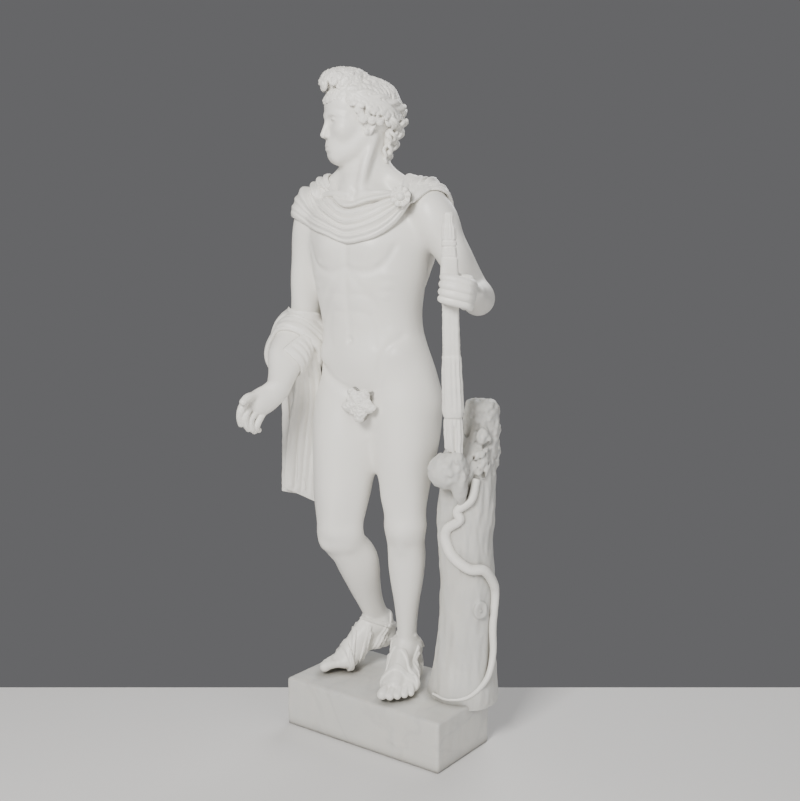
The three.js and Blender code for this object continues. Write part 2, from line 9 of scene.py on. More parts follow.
import bpy
import numpy as np
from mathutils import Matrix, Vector


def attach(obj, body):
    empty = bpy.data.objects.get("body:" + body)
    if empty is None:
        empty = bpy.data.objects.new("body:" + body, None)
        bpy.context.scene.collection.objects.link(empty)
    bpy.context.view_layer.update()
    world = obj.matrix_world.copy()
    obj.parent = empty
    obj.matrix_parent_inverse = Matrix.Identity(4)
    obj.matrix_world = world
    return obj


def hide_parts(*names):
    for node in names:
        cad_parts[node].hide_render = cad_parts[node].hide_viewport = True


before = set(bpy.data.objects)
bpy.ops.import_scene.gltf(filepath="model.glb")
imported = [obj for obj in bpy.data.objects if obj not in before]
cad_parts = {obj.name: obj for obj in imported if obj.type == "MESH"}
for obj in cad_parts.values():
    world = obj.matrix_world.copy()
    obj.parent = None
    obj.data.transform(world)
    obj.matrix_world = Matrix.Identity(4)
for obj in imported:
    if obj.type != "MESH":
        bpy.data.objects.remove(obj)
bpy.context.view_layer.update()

bl_info = {
    "name": "Marble Youth with Bow",
    "version": (1, 0, 0),
    "blender": (4, 5, 0),
    "location": "View3D > Sidebar > Statue",
    "description": "Carves a life-size marble statue of a young god on its plinth",
    "category": "Object",
}

MM = 0.001
FAR = 1000.0
BLOCK = 8

# The figure's frame

FLOOR = 136.0
CHEST_TURN = 11.5
HEAD_TURN = -35.0
CAMERA_SIDE = 36.6


def v(*numbers):
    return np.array(numbers, dtype=float)


UP = v(0, 0, 1)


def heading(degrees):
    """A level direction, turned from the front towards the figure's left."""
    turn = math.radians(degrees)
    return v(math.sin(turn), -math.cos(turn), 0)


def unit(direction):
    return direction / np.linalg.norm(direction)


JOINTS = {
    "hip_l": v(33, 12, 946),
    "knee_l": v(45, -4, 593),
    "ankle_l": v(14, 48, 222),
    "hip_r": v(-124, -30, 938),
    "knee_r": v(-101, -100, 568),
    "ankle_r": v(-117, 88, 259),
    "shoulder_l": v(114, 10, 1429),
    "elbow_l": v(217, 86, 1203),
    "wrist_l": v(280, -41, 1228),
    "shoulder_r": v(-236, -51, 1416),
    "elbow_r": v(-270, -51, 1115),
    "wrist_r": v(-214, -208, 969),
    "head": v(-80, -35, 1656),
}


class Axes:
    """A place with its own left, ahead and up directions."""

    def __init__(self, at, front, up=UP):
        self.at = np.asarray(at, dtype=float)
        self.up = unit(np.asarray(up, dtype=float))
        ahead = front - self.up * float(front @ self.up)
        self.ahead = unit(ahead)
        self.left = np.cross(self.up, self.ahead)

    def __call__(self, left, ahead, up):
        return self.at + self.left * left + self.ahead * ahead + self.up * up

    def local(self, points):
        away = points - self.at
        return away @ self.left, away @ self.ahead, away @ self.up


HEAD = Axes(JOINTS["head"], heading(HEAD_TURN))


# Smooth curves


def smooth_rows(rows, count):
    """Rows of numbers, made into more rows along a smooth curve through them."""
    rows = np.asarray(rows, dtype=float)
    last = len(rows) - 1
    slopes = np.gradient(rows, axis=0) if last else np.zeros_like(rows)
    place = np.linspace(0, last, count)
    low = np.minimum(place.astype(int), max(last - 1, 0))
    t = (place - low)[:, None]
    a, b = rows[low], rows[np.minimum(low + 1, last)]
    da, db = slopes[low], slopes[np.minimum(low + 1, last)]
    return (
        a * (2 * t**3 - 3 * t**2 + 1)
        + b * (3 * t**2 - 2 * t**3)
        + da * (t**3 - 2 * t**2 + t)
        + db * (t**3 - t**2)
    )


def smoothstep(t):
    t = np.clip(t, 0, 1)
    return t * t * (3 - 2 * t)


class Ripple:
    """Uneven waves in space: a sum of sines in seeded directions."""

    def __init__(self, length, seed, count=7, squeeze=(1, 1, 1)):
        dice = random.Random(seed)
        self.waves = []
        for _ in range(count):
            way = unit(v(*(dice.gauss(0, 1) for _ in range(3)))) * squeeze
            size = 2 * math.pi / (length * dice.uniform(0.6, 1.7))
            self.waves.append((way * size, dice.uniform(0, 2 * math.pi)))

    def __call__(self, points):
        total = sum(np.sin(points @ way + phase) for way, phase in self.waves)
        return total / math.sqrt(len(self.waves))


# Shapes: each gives the distance of points from its surface, negative inside


class Ball:
    """An oval ball, with its reach to the left, ahead and up in its own axes."""

    def __init__(self, axes, reach):
        self.axes = axes
        self.reach = np.asarray(reach, dtype=float)
        spread = np.sqrt(
            (self.reach[0] * axes.left) ** 2
            + (self.reach[1] * axes.ahead) ** 2
            + (self.reach[2] * axes.up) ** 2
        )
        self.low, self.high = axes.at - spread, axes.at + spread

    def __call__(self, points):
        q = np.stack(self.axes.local(points), -1)
        k0 = np.linalg.norm(q / self.reach, axis=-1)
        k1 = np.linalg.norm(q / self.reach**2, axis=-1) + 1e-9
        return k0 * (k0 - 1) / k1


class Rope:
    """A rope of changing thickness on a smooth way through places."""

    def __init__(self, places, radii, pieces=8):
        rows = [[*p, r] for p, r in zip(places, radii)]
        rows = smooth_rows(rows, pieces + 1)
        self.places, self.radii = rows[:, :3], rows[:, 3]
        grow = self.radii[:, None]
        self.low = (self.places - grow).min(axis=0)
        self.high = (self.places + grow).max(axis=0)

    def __call__(self, points):
        best = np.full(len(points), FAR)
        for a, b, ra, rb in zip(self.places, self.places[1:], self.radii, self.radii[1:]):
            away, along = points - a, b - a
            share = np.clip(away @ along / max(float(along @ along), 1e-9), 0, 1)
            gap = away - share[:, None] * along
            apart = np.sqrt(np.einsum("ij,ij->i", gap, gap)) - (ra + (rb - ra) * share)
            best = np.minimum(best, apart)
        return best


class Loft:
    """A skin over oval levels: height, shift left, shift ahead, reach left, right, ahead, back."""

    def __init__(self, axes, levels, power=2.0, end_round=8.0):
        levels = np.asarray(sorted(levels), dtype=float)
        self.axes, self.power, self.end_round = axes, power, end_round
        self.levels = smooth_rows(levels, 12 * len(levels))
        corners = [
            axes(row[1] + left, row[2] + ahead, row[0])
            for row in levels
            for left in (row[3], -row[4])
            for ahead in (row[5], -row[6])
        ]
        self.low, self.high = np.min(corners, axis=0), np.max(corners, axis=0)

    def __call__(self, points):
        left, ahead, up = self.axes.local(points)
        heights = self.levels[:, 0]
        row = [np.interp(up, heights, self.levels[:, i]) for i in range(1, 7)]
        left, ahead = left - row[0], ahead - row[1]
        wide = np.where(left > 0, row[2], row[3])
        deep = np.where(ahead > 0, row[4], row[5])
        a, b = np.abs(left) / wide, np.abs(ahead) / deep
        n = self.power
        size = (a**n + b**n) ** (1 / n) + 1e-6
        steep = size ** (1 - n) * np.sqrt((a ** (n - 1) / wide) ** 2 + (b ** (n - 1) / deep) ** 2)
        apart = (size - 1) / np.maximum(steep, 1e-5)
        beyond = np.maximum(heights[0] - up, up - heights[-1])
        return -blend_min(-apart, -beyond, self.end_round)


def limb(start, end, front, stations, power=2.0):
    """A limb between two joints. Each station is share of the way, left, right, front, back."""
    length = float(np.linalg.norm(end - start))
    axes = Axes(start, front, start - end)
    return Loft(axes, [[-share * length, 0, 0, *reach] for share, *reach in stations], power, 40.0)


class Block:
    """A box with rounded edges, in its own axes."""

    def __init__(self, axes, half, edge):
        self.axes, self.half, self.edge = axes, np.asarray(half, dtype=float), edge
        spread = sum(abs(h * d) for h, d in zip(half, (axes.left, axes.ahead, axes.up)))
        self.low, self.high = axes.at - spread, axes.at + spread

    def __call__(self, points):
        q = np.abs(np.stack(self.axes.local(points), -1)) - (self.half - self.edge)
        outside = np.linalg.norm(np.maximum(q, 0), axis=-1)
        return outside + np.minimum(q.max(axis=-1), 0) - self.edge


# Clay


def blend_min(a, b, width):
    if width <= 0:
        return np.minimum(a, b)
    near = np.maximum(width - np.abs(a - b), 0)
    return np.minimum(a, b) - near * near / (4 * width)


class Clay:
    """A form that is built up and cut in steps, each with the box that it can reach."""

    def __init__(self):
        self.steps = []

    def step(self, low, high, work):
        self.steps.append((np.asarray(low), np.asarray(high), work))

    def add(self, shape, blend=6.0):
        work = lambda now, p: blend_min(now, shape(p), blend)
        self.step(shape.low - blend, shape.high + blend, work)

    def cut(self, shape, blend=3.0):
        work = lambda now, p: -blend_min(-now, shape(p), blend)
        self.step(shape.low - blend, shape.high + blend, work)

    def swell(self, axes, reach, amount):
        """A soft rise, or a hollow where the amount is negative."""
        reach = np.asarray(reach, dtype=float)

        def work(now, points):
            q = np.stack(axes.local(points), -1) / reach
            return now - amount * np.exp(-np.einsum("ij,ij->i", q, q))

        spread = 2.6 * reach.max()
        self.step(axes.at - spread, axes.at + spread, work)

    def groove(self, places, width, depth, pieces=8):
        """A soft line cut along a way, or a ridge where the depth is negative."""
        line = Rope(places, [0.0] * len(places), pieces)
        work = lambda now, p: now + depth * np.exp(-((line(p) / width) ** 2))
        self.step(line.low - 2.6 * width, line.high + 2.6 * width, work)

    def roughen(self, ripple, amount, low, high, fade=14.0):
        """Small waves inside a box, fading out at its sides."""

        def work(now, points):
            inside = np.minimum(points - low, high - points).min(axis=1)
            return now + amount * ripple(points) * smoothstep(inside / fade)

        self.step(low, high, work)

    def strap(self, axes, half, reach, thick, blend=1.5):
        """A band of leather laid on the form, in a slab across the axes' up direction."""

        def work(now, points):
            across = np.abs(points @ axes.up - axes.at @ axes.up) - half
            away = np.linalg.norm(points - axes.at, axis=-1) - reach
            band = np.maximum(np.maximum(now - thick, across), away)
            return blend_min(now, band, blend)

        self.step(axes.at - reach, axes.at + reach, work)

    def distance(self, points, group=64, reach=4.0):
        """Distances of points from the form. Points that lie together come in groups."""
        count = len(points)
        spare = -count % group
        if spare:
            points = np.concatenate([points, np.repeat(points[-1:], spare, axis=0)])
        sets = points.reshape(-1, group, 3)
        low, high = sets.min(axis=1) - reach, sets.max(axis=1) + reach
        result = np.full(sets.shape[:2], FAR)
        for step_low, step_high, work in self.steps:
            near = np.all((low <= step_high) & (high >= step_low), axis=1)
            if near.any():
                flat = sets[near].reshape(-1, 3)
                result[near] = work(result[near].reshape(-1), flat).reshape(-1, group)
        return result.reshape(-1)[:count]


class Region:
    """A part of space inside a box and on the far side of a seam."""

    def __init__(self, low, high, at, far_way):
        self.low, self.high = v(*low), v(*high)
        self.at, self.far_way = at, unit(far_way)

    def __call__(self, points):
        inside = np.minimum(points - self.low, self.high - points).min(axis=1)
        return np.minimum((points - self.at) @ self.far_way, inside)


LAP = 12.0
LAP_SINK = 3.0


class Part:
    """What one piece takes of a form: all outside some regions, or inside one region.

    Neighbours meet on the seam, and each goes on a little way inside the other.
    """

    def __init__(self, form, within=None, without=()):
        self.form, self.within, self.without = form, within, without

    def distance(self, points, group=64, reach=4.0):
        now = self.form.distance(points, group, reach)
        past = [region(points) for region in self.without]
        if self.within:
            past.append(-self.within(points))
        for beyond in past:
            now = np.maximum(now + LAP_SINK * smoothstep(beyond / LAP), beyond - LAP)
        return now


# Skin of a form

CORNERS = np.array([[i >> 2 & 1, i >> 1 & 1, i & 1] for i in range(8)])
EDGES = [
    (a, b) for a in range(8) for b in range(a + 1, 8) if abs(CORNERS[a] - CORNERS[b]).sum() == 1
]


def lattice(form, low, high, step):
    """Distances on a lattice, worked out near the surface and only signed elsewhere."""
    blocks = np.ceil((high - low) / (step * BLOCK)).astype(int)
    size = step * BLOCK
    index = np.stack(np.meshgrid(*(np.arange(n) for n in blocks), indexing="ij"), -1)
    index = index.reshape(-1, 3)
    middles = low + (index + 0.5) * size - step / 2
    half_way = size * math.sqrt(3) / 2
    rough = form.distance(middles, 1, half_way)
    field = np.broadcast_to(
        rough.reshape(*blocks, 1, 1, 1), (*blocks, BLOCK, BLOCK, BLOCK)
    ).astype(np.float32)
    active = np.abs(rough) < half_way * 1.25
    steps = np.stack(np.meshgrid(*(np.arange(BLOCK),) * 3, indexing="ij"), -1).reshape(-1, 3)
    chosen = index[active]
    per_batch = 1500
    for start in range(0, len(chosen), per_batch):
        part = chosen[start : start + per_batch]
        points = low + (part[:, None] * BLOCK + steps) * step
        values = form.distance(points.reshape(-1, 3), BLOCK**3, step)
        field[part[:, 0], part[:, 1], part[:, 2]] = values.reshape(-1, BLOCK, BLOCK, BLOCK)
    return field.transpose(0, 3, 1, 4, 2, 5).reshape(*(blocks * BLOCK))


def skin(form, low, high, step):
    """The form's surface inside a box, as places and four-sided faces."""
    low, high = v(*low), v(*high)
    field = lattice(form, low, high, step)
    inside = field < 0
    shape = np.array(field.shape) - 1
    corner = [
        inside[c[0] : shape[0] + c[0], c[1] : shape[1] + c[1], c[2] : shape[2] + c[2]]
        for c in CORNERS
    ]
    mixed = np.logical_or.reduce(corner) & ~np.logical_and.reduce(corner)
    cells = np.argwhere(mixed)
    total = np.zeros((len(cells), 3))
    count = np.zeros(len(cells))
    for a, b in EDGES:
        ca, cb = cells + CORNERS[a], cells + CORNERS[b]
        fa, fb = field[tuple(ca.T)], field[tuple(cb.T)]
        crossed = (fa < 0) != (fb < 0)
        share = np.where(crossed, fa / np.where(crossed, fa - fb, 1), 0)
        place = CORNERS[a] + share[:, None] * (CORNERS[b] - CORNERS[a])
        total += place * crossed[:, None]
        count += crossed
    places = low + (cells + total / count[:, None]) * step
    number = np.full(shape, -1, dtype=np.int64)
    number[mixed] = np.arange(len(cells))
    faces = []
    for axis in range(3):
        j, k = (axis + 1) % 3, (axis + 2) % 3
        before = [slice(None)] * 3
        after = [slice(None)] * 3
        before[axis], after[axis] = slice(0, -1), slice(1, None)
        starts, ends = inside[tuple(before)], inside[tuple(after)]
        at = np.argwhere(starts != ends)
        at = at[(at[:, j] > 0) & (at[:, k] > 0) & (at[:, j] < shape[j]) & (at[:, k] < shape[k])]
        ring = []
        for dj, dk in ((1, 1), (0, 1), (0, 0), (1, 0)):
            cell = at.copy()
            cell[:, j] -= dj
            cell[:, k] -= dk
            ring.append(number[tuple(cell.T)])
        quad = np.stack(ring, 1)
        outward = starts[tuple(at.T)]
        quad[~outward] = quad[~outward][:, ::-1]
        faces.append(quad)
    faces = np.concatenate(faces)
    faces = faces[(faces >= 0).all(axis=1)]
    return settle(form, places, step), faces


TETRA = np.array([[1, 1, 1], [1, -1, -1], [-1, 1, -1], [-1, -1, 1]]) / math.sqrt(3)


def settle(form, places, step):
    """Moves places onto the form's surface along its slope."""
    for reach in (0.5 * step, 0.25 * step):
        around = (places[:, None] + TETRA * reach).reshape(-1, 3)
        values = form.distance(around, 64, step).reshape(-1, 4)
        slope = values @ TETRA * (3 / (4 * reach))
        steep = np.einsum("ij,ij->i", slope, slope)
        move = slope * (values.mean(axis=1) / np.maximum(steep, 0.2))[:, None]
        length = np.linalg.norm(move, axis=1, keepdims=True)
        places = places - move * np.minimum(1, 0.6 * step / np.maximum(length, 1e-9))
    return places


# Meshes


def mesh_piece(name, places, faces, material):
    """A piece from places in millimetres and four-sided faces, that stands for the solid."""
    mesh = bpy.data.meshes.new(name)
    faces = np.asarray(faces, dtype=np.int32)
    sides = faces.shape[1]
    mesh.vertices.add(len(places))
    mesh.vertices.foreach_set("co", (np.asarray(places) * MM).astype(np.float32).ravel())
    mesh.loops.add(faces.size)
    mesh.loops.foreach_set("vertex_index", faces.ravel())
    mesh.polygons.add(len(faces))
    mesh.polygons.foreach_set("loop_start", np.arange(0, faces.size, sides, dtype=np.int32))
    mesh.update(calc_edges=True)
    mesh.validate()
    mesh.shade_smooth()
    mesh.materials.append(material)
    piece = bpy.data.objects.new(name, mesh)
    bpy.context.scene.collection.objects.link(piece)
    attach(piece, "root")
    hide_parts("statue")
    return piece


def carve(name, form, low, high, step, material):
    places, faces = skin(form, low, high, step)
    return mesh_piece(name, places, faces, material)


def rings_to_faces(rings, sides, close_ends=True):
    """Faces between rings of places that follow each other, with the two ends closed."""
    i, j = np.meshgrid(np.arange(rings - 1), np.arange(sides), indexing="ij")
    a, b = i * sides + j, i * sides + (j + 1) % sides
    body = np.stack([a, b, b + sides, a + sides], -1).reshape(-1, 4)
    if not close_ends:
        return body
    half = sides // 2
    caps = []
    for first, turn in ((0, 1), ((rings - 1) * sides, -1)):
        for k in range(half - 1):
            ring = [first + k, first + k + 1, first + sides - 2 - k, first + sides - 1 - k]
            caps.append(ring[::-turn])
    return np.concatenate([body, np.array(caps)])


# Marble


def node_maker(tree):
    def make(kind, at=(0, 0), **values):
        node = tree.nodes.new(kind)
        node.location = at
        for key, value in values.items():
            if hasattr(node, key):
                setattr(node, key, value)
            else:
                node.inputs[key].default_value = value
        return node

    return make


def color_ramp(node, stops):
    ramp = node.color_ramp
    while len(ramp.elements) < len(stops):
        ramp.elements.new(0.5)
    for element, (place, color) in zip(ramp.elements, stops):
        element.position = place
        element.color = (*color, 1)
    return node


def marble(name, pale, aged, painted_shade_color, amount, rough, grain=1.0):
    """Weathered marble: pale on its high places, aged in soft patches, with painted shade in recesses."""
    material = bpy.data.materials.new(name)
    material.use_nodes = True
    tree = material.node_tree
    tree.nodes.clear()
    make, link = node_maker(tree), tree.links.new
    place = make("ShaderNodeTexCoord", (-1400, 0))
    clouds = make("ShaderNodeTexNoise", (-1200, 200), Scale=5.5, Detail=6.0, Roughness=0.6)
    specks = make("ShaderNodeTexNoise", (-1200, -50), Scale=120.0, Detail=4.0, Roughness=0.65)
    veins = make("ShaderNodeTexNoise", (-1200, -300), Scale=2.2, Detail=8.0, Distortion=1.4)
    runs = make("ShaderNodeMapping", (-1400, -550), vector_type="POINT")
    runs.inputs["Scale"].default_value = (16, 16, 1.6)
    streaks = make("ShaderNodeTexNoise", (-1200, -550), Scale=1.0, Detail=5.0, Roughness=0.55)
    # Ambient occlusion, for the painted shade that darkens recesses, creases and gaps between parts.
    hidden = make("ShaderNodeAmbientOcclusion", (-1200, 450), samples=8, Distance=0.03)
    for node in (clouds, specks, veins, runs):
        link(place.outputs["Object"], node.inputs["Vector"])
    link(runs.outputs["Vector"], streaks.inputs["Vector"])
    patch = color_ramp(
        make("ShaderNodeValToRGB", (-950, 200)), [(0.38, (0, 0, 0)), (0.68, (1, 1, 1))]
    )
    link(clouds.outputs["Fac"], patch.inputs["Fac"])
    run = color_ramp(
        make("ShaderNodeValToRGB", (-950, -550)), [(0.5, (0, 0, 0)), (0.75, (1, 1, 1))]
    )
    link(streaks.outputs["Fac"], run.inputs["Fac"])
    worn = make("ShaderNodeMath", (-700, 100), operation="ADD")
    link(patch.outputs["Color"], worn.inputs[0])
    link(run.outputs["Color"], worn.inputs[1])
    age = make("ShaderNodeMath", (-500, 100), operation="MULTIPLY")
    age.inputs[1].default_value = amount
    link(worn.outputs[0], age.inputs[0])
    tint = make("ShaderNodeMix", (-300, 200), data_type="RGBA")
    tint.inputs["A"].default_value = (*pale, 1)
    tint.inputs["B"].default_value = (*aged, 1)
    link(age.outputs[0], tint.inputs["Factor"])
    vein = color_ramp(
        make("ShaderNodeValToRGB", (-950, -300)),
        [(0.47, (1, 1, 1)), (0.5, (0.93, 0.93, 0.94)), (0.53, (1, 1, 1))],
    )
    link(veins.outputs["Fac"], vein.inputs["Fac"])
    veined = make("ShaderNodeMix", (-100, 200), data_type="RGBA", blend_type="MULTIPLY")
    veined.inputs["Factor"].default_value = 1.0
    link(tint.outputs["Result"], veined.inputs["A"])
    link(vein.outputs["Color"], veined.inputs["B"])
    # Painted shade: the less light reaches a place, the more its colour goes to the near-black shade colour.
    depth = make("ShaderNodeMath", (-900, 450), operation="SUBTRACT")
    depth.inputs[0].default_value = 1.0
    link(hidden.outputs["AO"], depth.inputs[1])
    painted_shade_curve = make("ShaderNodeMath", (-700, 450), operation="POWER")
    painted_shade_curve.inputs[1].default_value = 1.15
    link(depth.outputs[0], painted_shade_curve.inputs[0])
    painted_shade = make("ShaderNodeMath", (-500, 450), operation="MULTIPLY", use_clamp=True)
    painted_shade.inputs[1].default_value = 1.1
    link(painted_shade_curve.outputs[0], painted_shade.inputs[0])
    # The marble's colour with the painted shade mixed into its recesses.
    with_painted_shade = make("ShaderNodeMix", (100, 200), data_type="RGBA")
    with_painted_shade.inputs["B"].default_value = (*painted_shade_color, 1)
    link(painted_shade.outputs[0], with_painted_shade.inputs["Factor"])
    link(veined.outputs["Result"], with_painted_shade.inputs["A"])
    shader = make("ShaderNodeBsdfPrincipled", (600, 100))
    shader.inputs["Roughness"].default_value = rough
    shader.inputs["Specular IOR Level"].default_value = 0.35
    shader.inputs["Subsurface Weight"].default_value = 0.12
    shader.inputs["Subsurface Radius"].default_value = (0.012, 0.009, 0.007)
    shader.inputs["Subsurface Scale"].default_value = 0.5
    link(with_painted_shade.outputs["Result"], shader.inputs["Base Color"])
    fine = make("ShaderNodeBump", (350, -200), Strength=0.12 * grain, Distance=0.0006)
    link(specks.outputs["Fac"], fine.inputs["Height"])
    broad = make("ShaderNodeBump", (350, -400), Strength=0.1 * grain, Distance=0.002)
    link(clouds.outputs["Fac"], broad.inputs["Height"])
    link(broad.outputs["Normal"], fine.inputs["Normal"])
    link(fine.outputs["Normal"], shader.inputs["Normal"])
    out = make("ShaderNodeOutputMaterial", (900, 100))
    link(shader.outputs["BSDF"], out.inputs["Surface"])
    return material


def body_marble():
    look = bpy.context.scene.statue_look
    name = "marble"
    if name not in bpy.data.materials:
        # The marble gets painted shade in its recesses from ambient occlusion.
        marble(name, look.pale, look.aged, look.painted_shade_color, look.patina, look.roughness)
    return bpy.data.materials[name]


def weathered_marble():
    look = bpy.context.scene.statue_look
    name = "weathered_marble"
    if name not in bpy.data.materials:
        # The greyer marble gets the same painted shade in its recesses.
        marble(name, look.weathered, look.aged, look.painted_shade_color, 0.75, look.roughness, 2.5)
    return bpy.data.materials[name]


# The figure

THIGH_L = [
    (-0.26, 20, 20, 20, 30),
    (-0.12, 62, 58, 66, 76),
    (0.0, 88, 80, 86, 93),
    (0.12, 98, 87, 92, 95),
    (0.3, 94, 86, 91, 89),
    (0.5, 81, 77, 86, 81),
    (0.68, 67, 65, 77, 71),
    (0.82, 58, 57, 66, 63),
    (0.92, 54, 53, 60, 58),
    (1.0, 52, 51, 56, 52),
    (1.08, 44, 43, 44, 44),
]
THIGH_R = [
    (-0.26, 20, 20, 20, 30),
    (-0.12, 58, 62, 66, 76),
    (0.0, 78, 88, 86, 92),
    (0.12, 86, 94, 92, 95),
    (0.3, 84, 90, 92, 89),
    (0.5, 76, 79, 87, 81),
    (0.68, 69, 70, 82, 74),
    (0.82, 62, 62, 74, 64),
    (0.92, 57, 57, 68, 57),
    (1.0, 54, 54, 62, 50),
    (1.08, 44, 44, 46, 42),
]
SHIN = [
    (-0.06, 40, 40, 40, 40),
    (0.04, 49, 48, 52, 50),
    (0.12, 50, 49, 49, 57),
    (0.22, 51, 48, 46, 66),
    (0.32, 50, 47, 45, 69),
    (0.45, 45, 42, 42, 62),
    (0.6, 36, 34, 38, 49),
    (0.76, 29, 28, 33, 38),
    (0.9, 26, 25, 31, 36),
    (1.0, 28, 27, 33, 40),
    (1.12, 26, 26, 33, 42),
]
UPPER_ARM_L = [
    (-0.22, 16, 16, 18, 18),
    (-0.15, 42, 42, 44, 44),
    (-0.05, 54, 54, 55, 55),
    (0.08, 59, 59, 60, 59),
    (0.2, 56, 56, 58, 57),
    (0.34, 48, 48, 53, 52),
    (0.5, 44, 44, 50, 50),
    (0.7, 40, 40, 45, 46),
    (0.88, 39, 39, 41, 42),
    (1.0, 38, 38, 38, 40),
    (1.08, 30, 30, 30, 32),
]
UPPER_ARM_R = [
    (-0.22, 14, 14, 16, 18),
    (-0.15, 36, 32, 34, 40),
    (-0.05, 46, 40, 42, 50),
    (0.08, 52, 43, 46, 54),
    (0.24, 51, 43, 47, 54),
    (0.45, 45, 39, 44, 50),
    (0.7, 40, 35, 40, 46),
    (0.9, 39, 35, 38, 42),
    (1.0, 36, 36, 36, 40),
    (1.08, 30, 30, 30, 32),
]
FOREARM = [
    (-0.1, 28, 28, 28, 28),
    (0.02, 39, 39, 40, 40),
    (0.14, 43, 43, 44, 44),
    (0.3, 42, 42, 43, 43),
    (0.5, 37, 37, 38, 38),
    (0.7, 31, 31, 31, 31),
    (0.88, 29, 29, 25, 25),
    (1.0, 30, 30, 23, 23),
    (1.12, 31, 31, 20, 20),
]
# Height, middle x, middle y, then reach to the left, right, front and back.
TORSO = [
    (1516, -75, -26, 34, 34, 34, 34),
    (1498, -74, -26, 58, 58, 52, 56),
    (1478, -72, -25, 84, 82, 60, 72),
    (1455, -69, -24, 120, 118, 72, 82),
    (1428, -65, -22, 150, 146, 86, 94),
    (1395, -63, -20, 164, 161, 98, 102),
    (1350, -62, -20, 167, 164, 105, 107),
    (1300, -62, -20, 161, 159, 107, 108),
    (1250, -61, -20, 153, 152, 105, 104),
    (1200, -60, -18, 145, 146, 100, 96),
    (1160, -58, -16, 140, 141, 96, 90),
    (1120, -55, -15, 141, 139, 95, 88),
    (1080, -50, -14, 148, 144, 96, 90),
    (1040, -45, -13, 158, 152, 95, 94),
    (1000, -41, -11, 166, 159, 92, 99),
    (960, -38, -9, 169, 162, 88, 99),
    (920, -37, -7, 165, 159, 83, 92),
    (885, -36, -6, 138, 136, 72, 78),
    (856, -36, -5, 80, 80, 46, 52),
]


def torso_axes(up):
    """The trunk's middle at a height, facing as the chest does."""
    heights = [row[0] for row in reversed(TORSO)]
    x = np.interp(up, heights, [row[1] for row in reversed(TORSO)])
    y = np.interp(up, heights, [row[2] for row in reversed(TORSO)])
    return Axes(v(x, y, up), heading(CHEST_TURN))


def midline(up):
    """How far the body's middle line lies from its axis at a height, towards the left."""
    return np.interp(up, (900, 940, 1000, 1098, 1300, 1450), (0, 0, -12, -23, -16, -6))


def on_trunk_skin(left, up, out=0.0, behind=False):
    """A place on the trunk's skin, measured from the body's middle line."""
    left = left + float(midline(up))
    heights = [row[0] for row in reversed(TORSO)]
    wide, deep = (4 if left < 0 else 3), (6 if behind else 5)
    wide = np.interp(up, heights, [row[wide] for row in reversed(TORSO)])
    deep = np.interp(up, heights, [row[deep] for row in reversed(TORSO)])
    ahead = deep * max(1 - abs(left / wide) ** 2.25, 0) ** (1 / 2.25) + out
    return torso_axes(up)(left, -ahead if behind else ahead, 0)


# Soft forms in front: left, up, reach left, ahead and up, amount.
FRONT_FORMS = [
    (62, 1342, 50, 60, 38, 13),
    (-62, 1342, 50, 60, 38, 13),
    (86, 1300, 7, 12, 7, 2.6),
    (-86, 1300, 7, 12, 7, 2.6),
    (34, 1242, 24, 30, 20, 3.0),
    (-34, 1242, 24, 30, 20, 3.0),
    (32, 1196, 24, 30, 19, 2.8),
    (-32, 1196, 24, 30, 19, 2.8),
    (30, 1148, 22, 30, 18, 2.4),
    (-30, 1148, 22, 30, 18, 2.4),
    (0, 1098, 6, 16, 8, -10),
    (0, 1112, 12, 16, 6, 1.8),
    (2, 1046, 58, 60, 42, 8),
    (118, 1066, 34, 60, 28, 9),
    (-112, 1054, 34, 60, 28, 8),
    (116, 1268, 20, 30, 10, 3.5),
    (112, 1240, 18, 30, 10, 3.5),
    (106, 1212, 16, 30, 9, 3.0),
    (-112, 1266, 20, 30, 10, 3.5),
    (-106, 1238, 18, 30, 10, 3.5),
    (-100, 1210, 16, 30, 9, 3.0),
]
BACK_FORMS = [
    (128, 1290, 40, 70, 70, 6),
    (-100, 1290, 40, 70, 70, 6),
    (92, 1384, 44, 40, 46, 11),
    (-64, 1384, 44, 40, 46, 11),
    (46, 1120, 18, 34, 110, 6),
    (-8, 1120, 18, 34, 110, 6),
    (82, 930, 60, 60, 58, 27),
    (-66, 924, 60, 60, 58, 26),
]
# Soft lines: places as (left, up), width, depth.
FRONT_LINES = [
    ([(0, 1410), (0, 1350), (0, 1286)], 9, 4.5),
    ([(0, 1284), (0, 1200), (0, 1112)], 8, 3.2),
    ([(4, 1286), (36, 1276), (78, 1280), (110, 1304), (128, 1340)], 9, 5),
    ([(-4, 1286), (-36, 1276), (-78, 1280), (-108, 1304), (-126, 1340)], 9, 5),
    ([(12, 1272), (52, 1226), (88, 1178), (106, 1138)], 11, 3.2),
    ([(-12, 1272), (-52, 1226), (-84, 1178), (-100, 1138)], 11, 3.2),
    ([(12, 1218), (34, 1219), (54, 1214)], 6, 1.8),
    ([(-12, 1218), (-34, 1219), (-54, 1214)], 6, 1.8),
    ([(12, 1172), (34, 1172), (52, 1168)], 6, 1.6),
    ([(-12, 1172), (-34, 1172), (-52, 1168)], 6, 1.6),
    ([(64, 1160), (72, 1120), (70, 1086)], 10, 2.4),
    ([(-60, 1160), (-68, 1120), (-64, 1086)], 10, 2.4),
    ([(138, 1108), (100, 1078), (74, 1034), (50, 984), (24, 952)], 11, 6),
    ([(-132, 1040), (-104, 1006), (-74, 980), (-28, 958)], 11, 6),
]
BACK_LINES = [
    ([(14, 1440), (14, 1300), (18, 1130), (12, 1010)], 14, 9),
    ([(6, 985), (6, 930), (6, 890)], 9, 18),
]


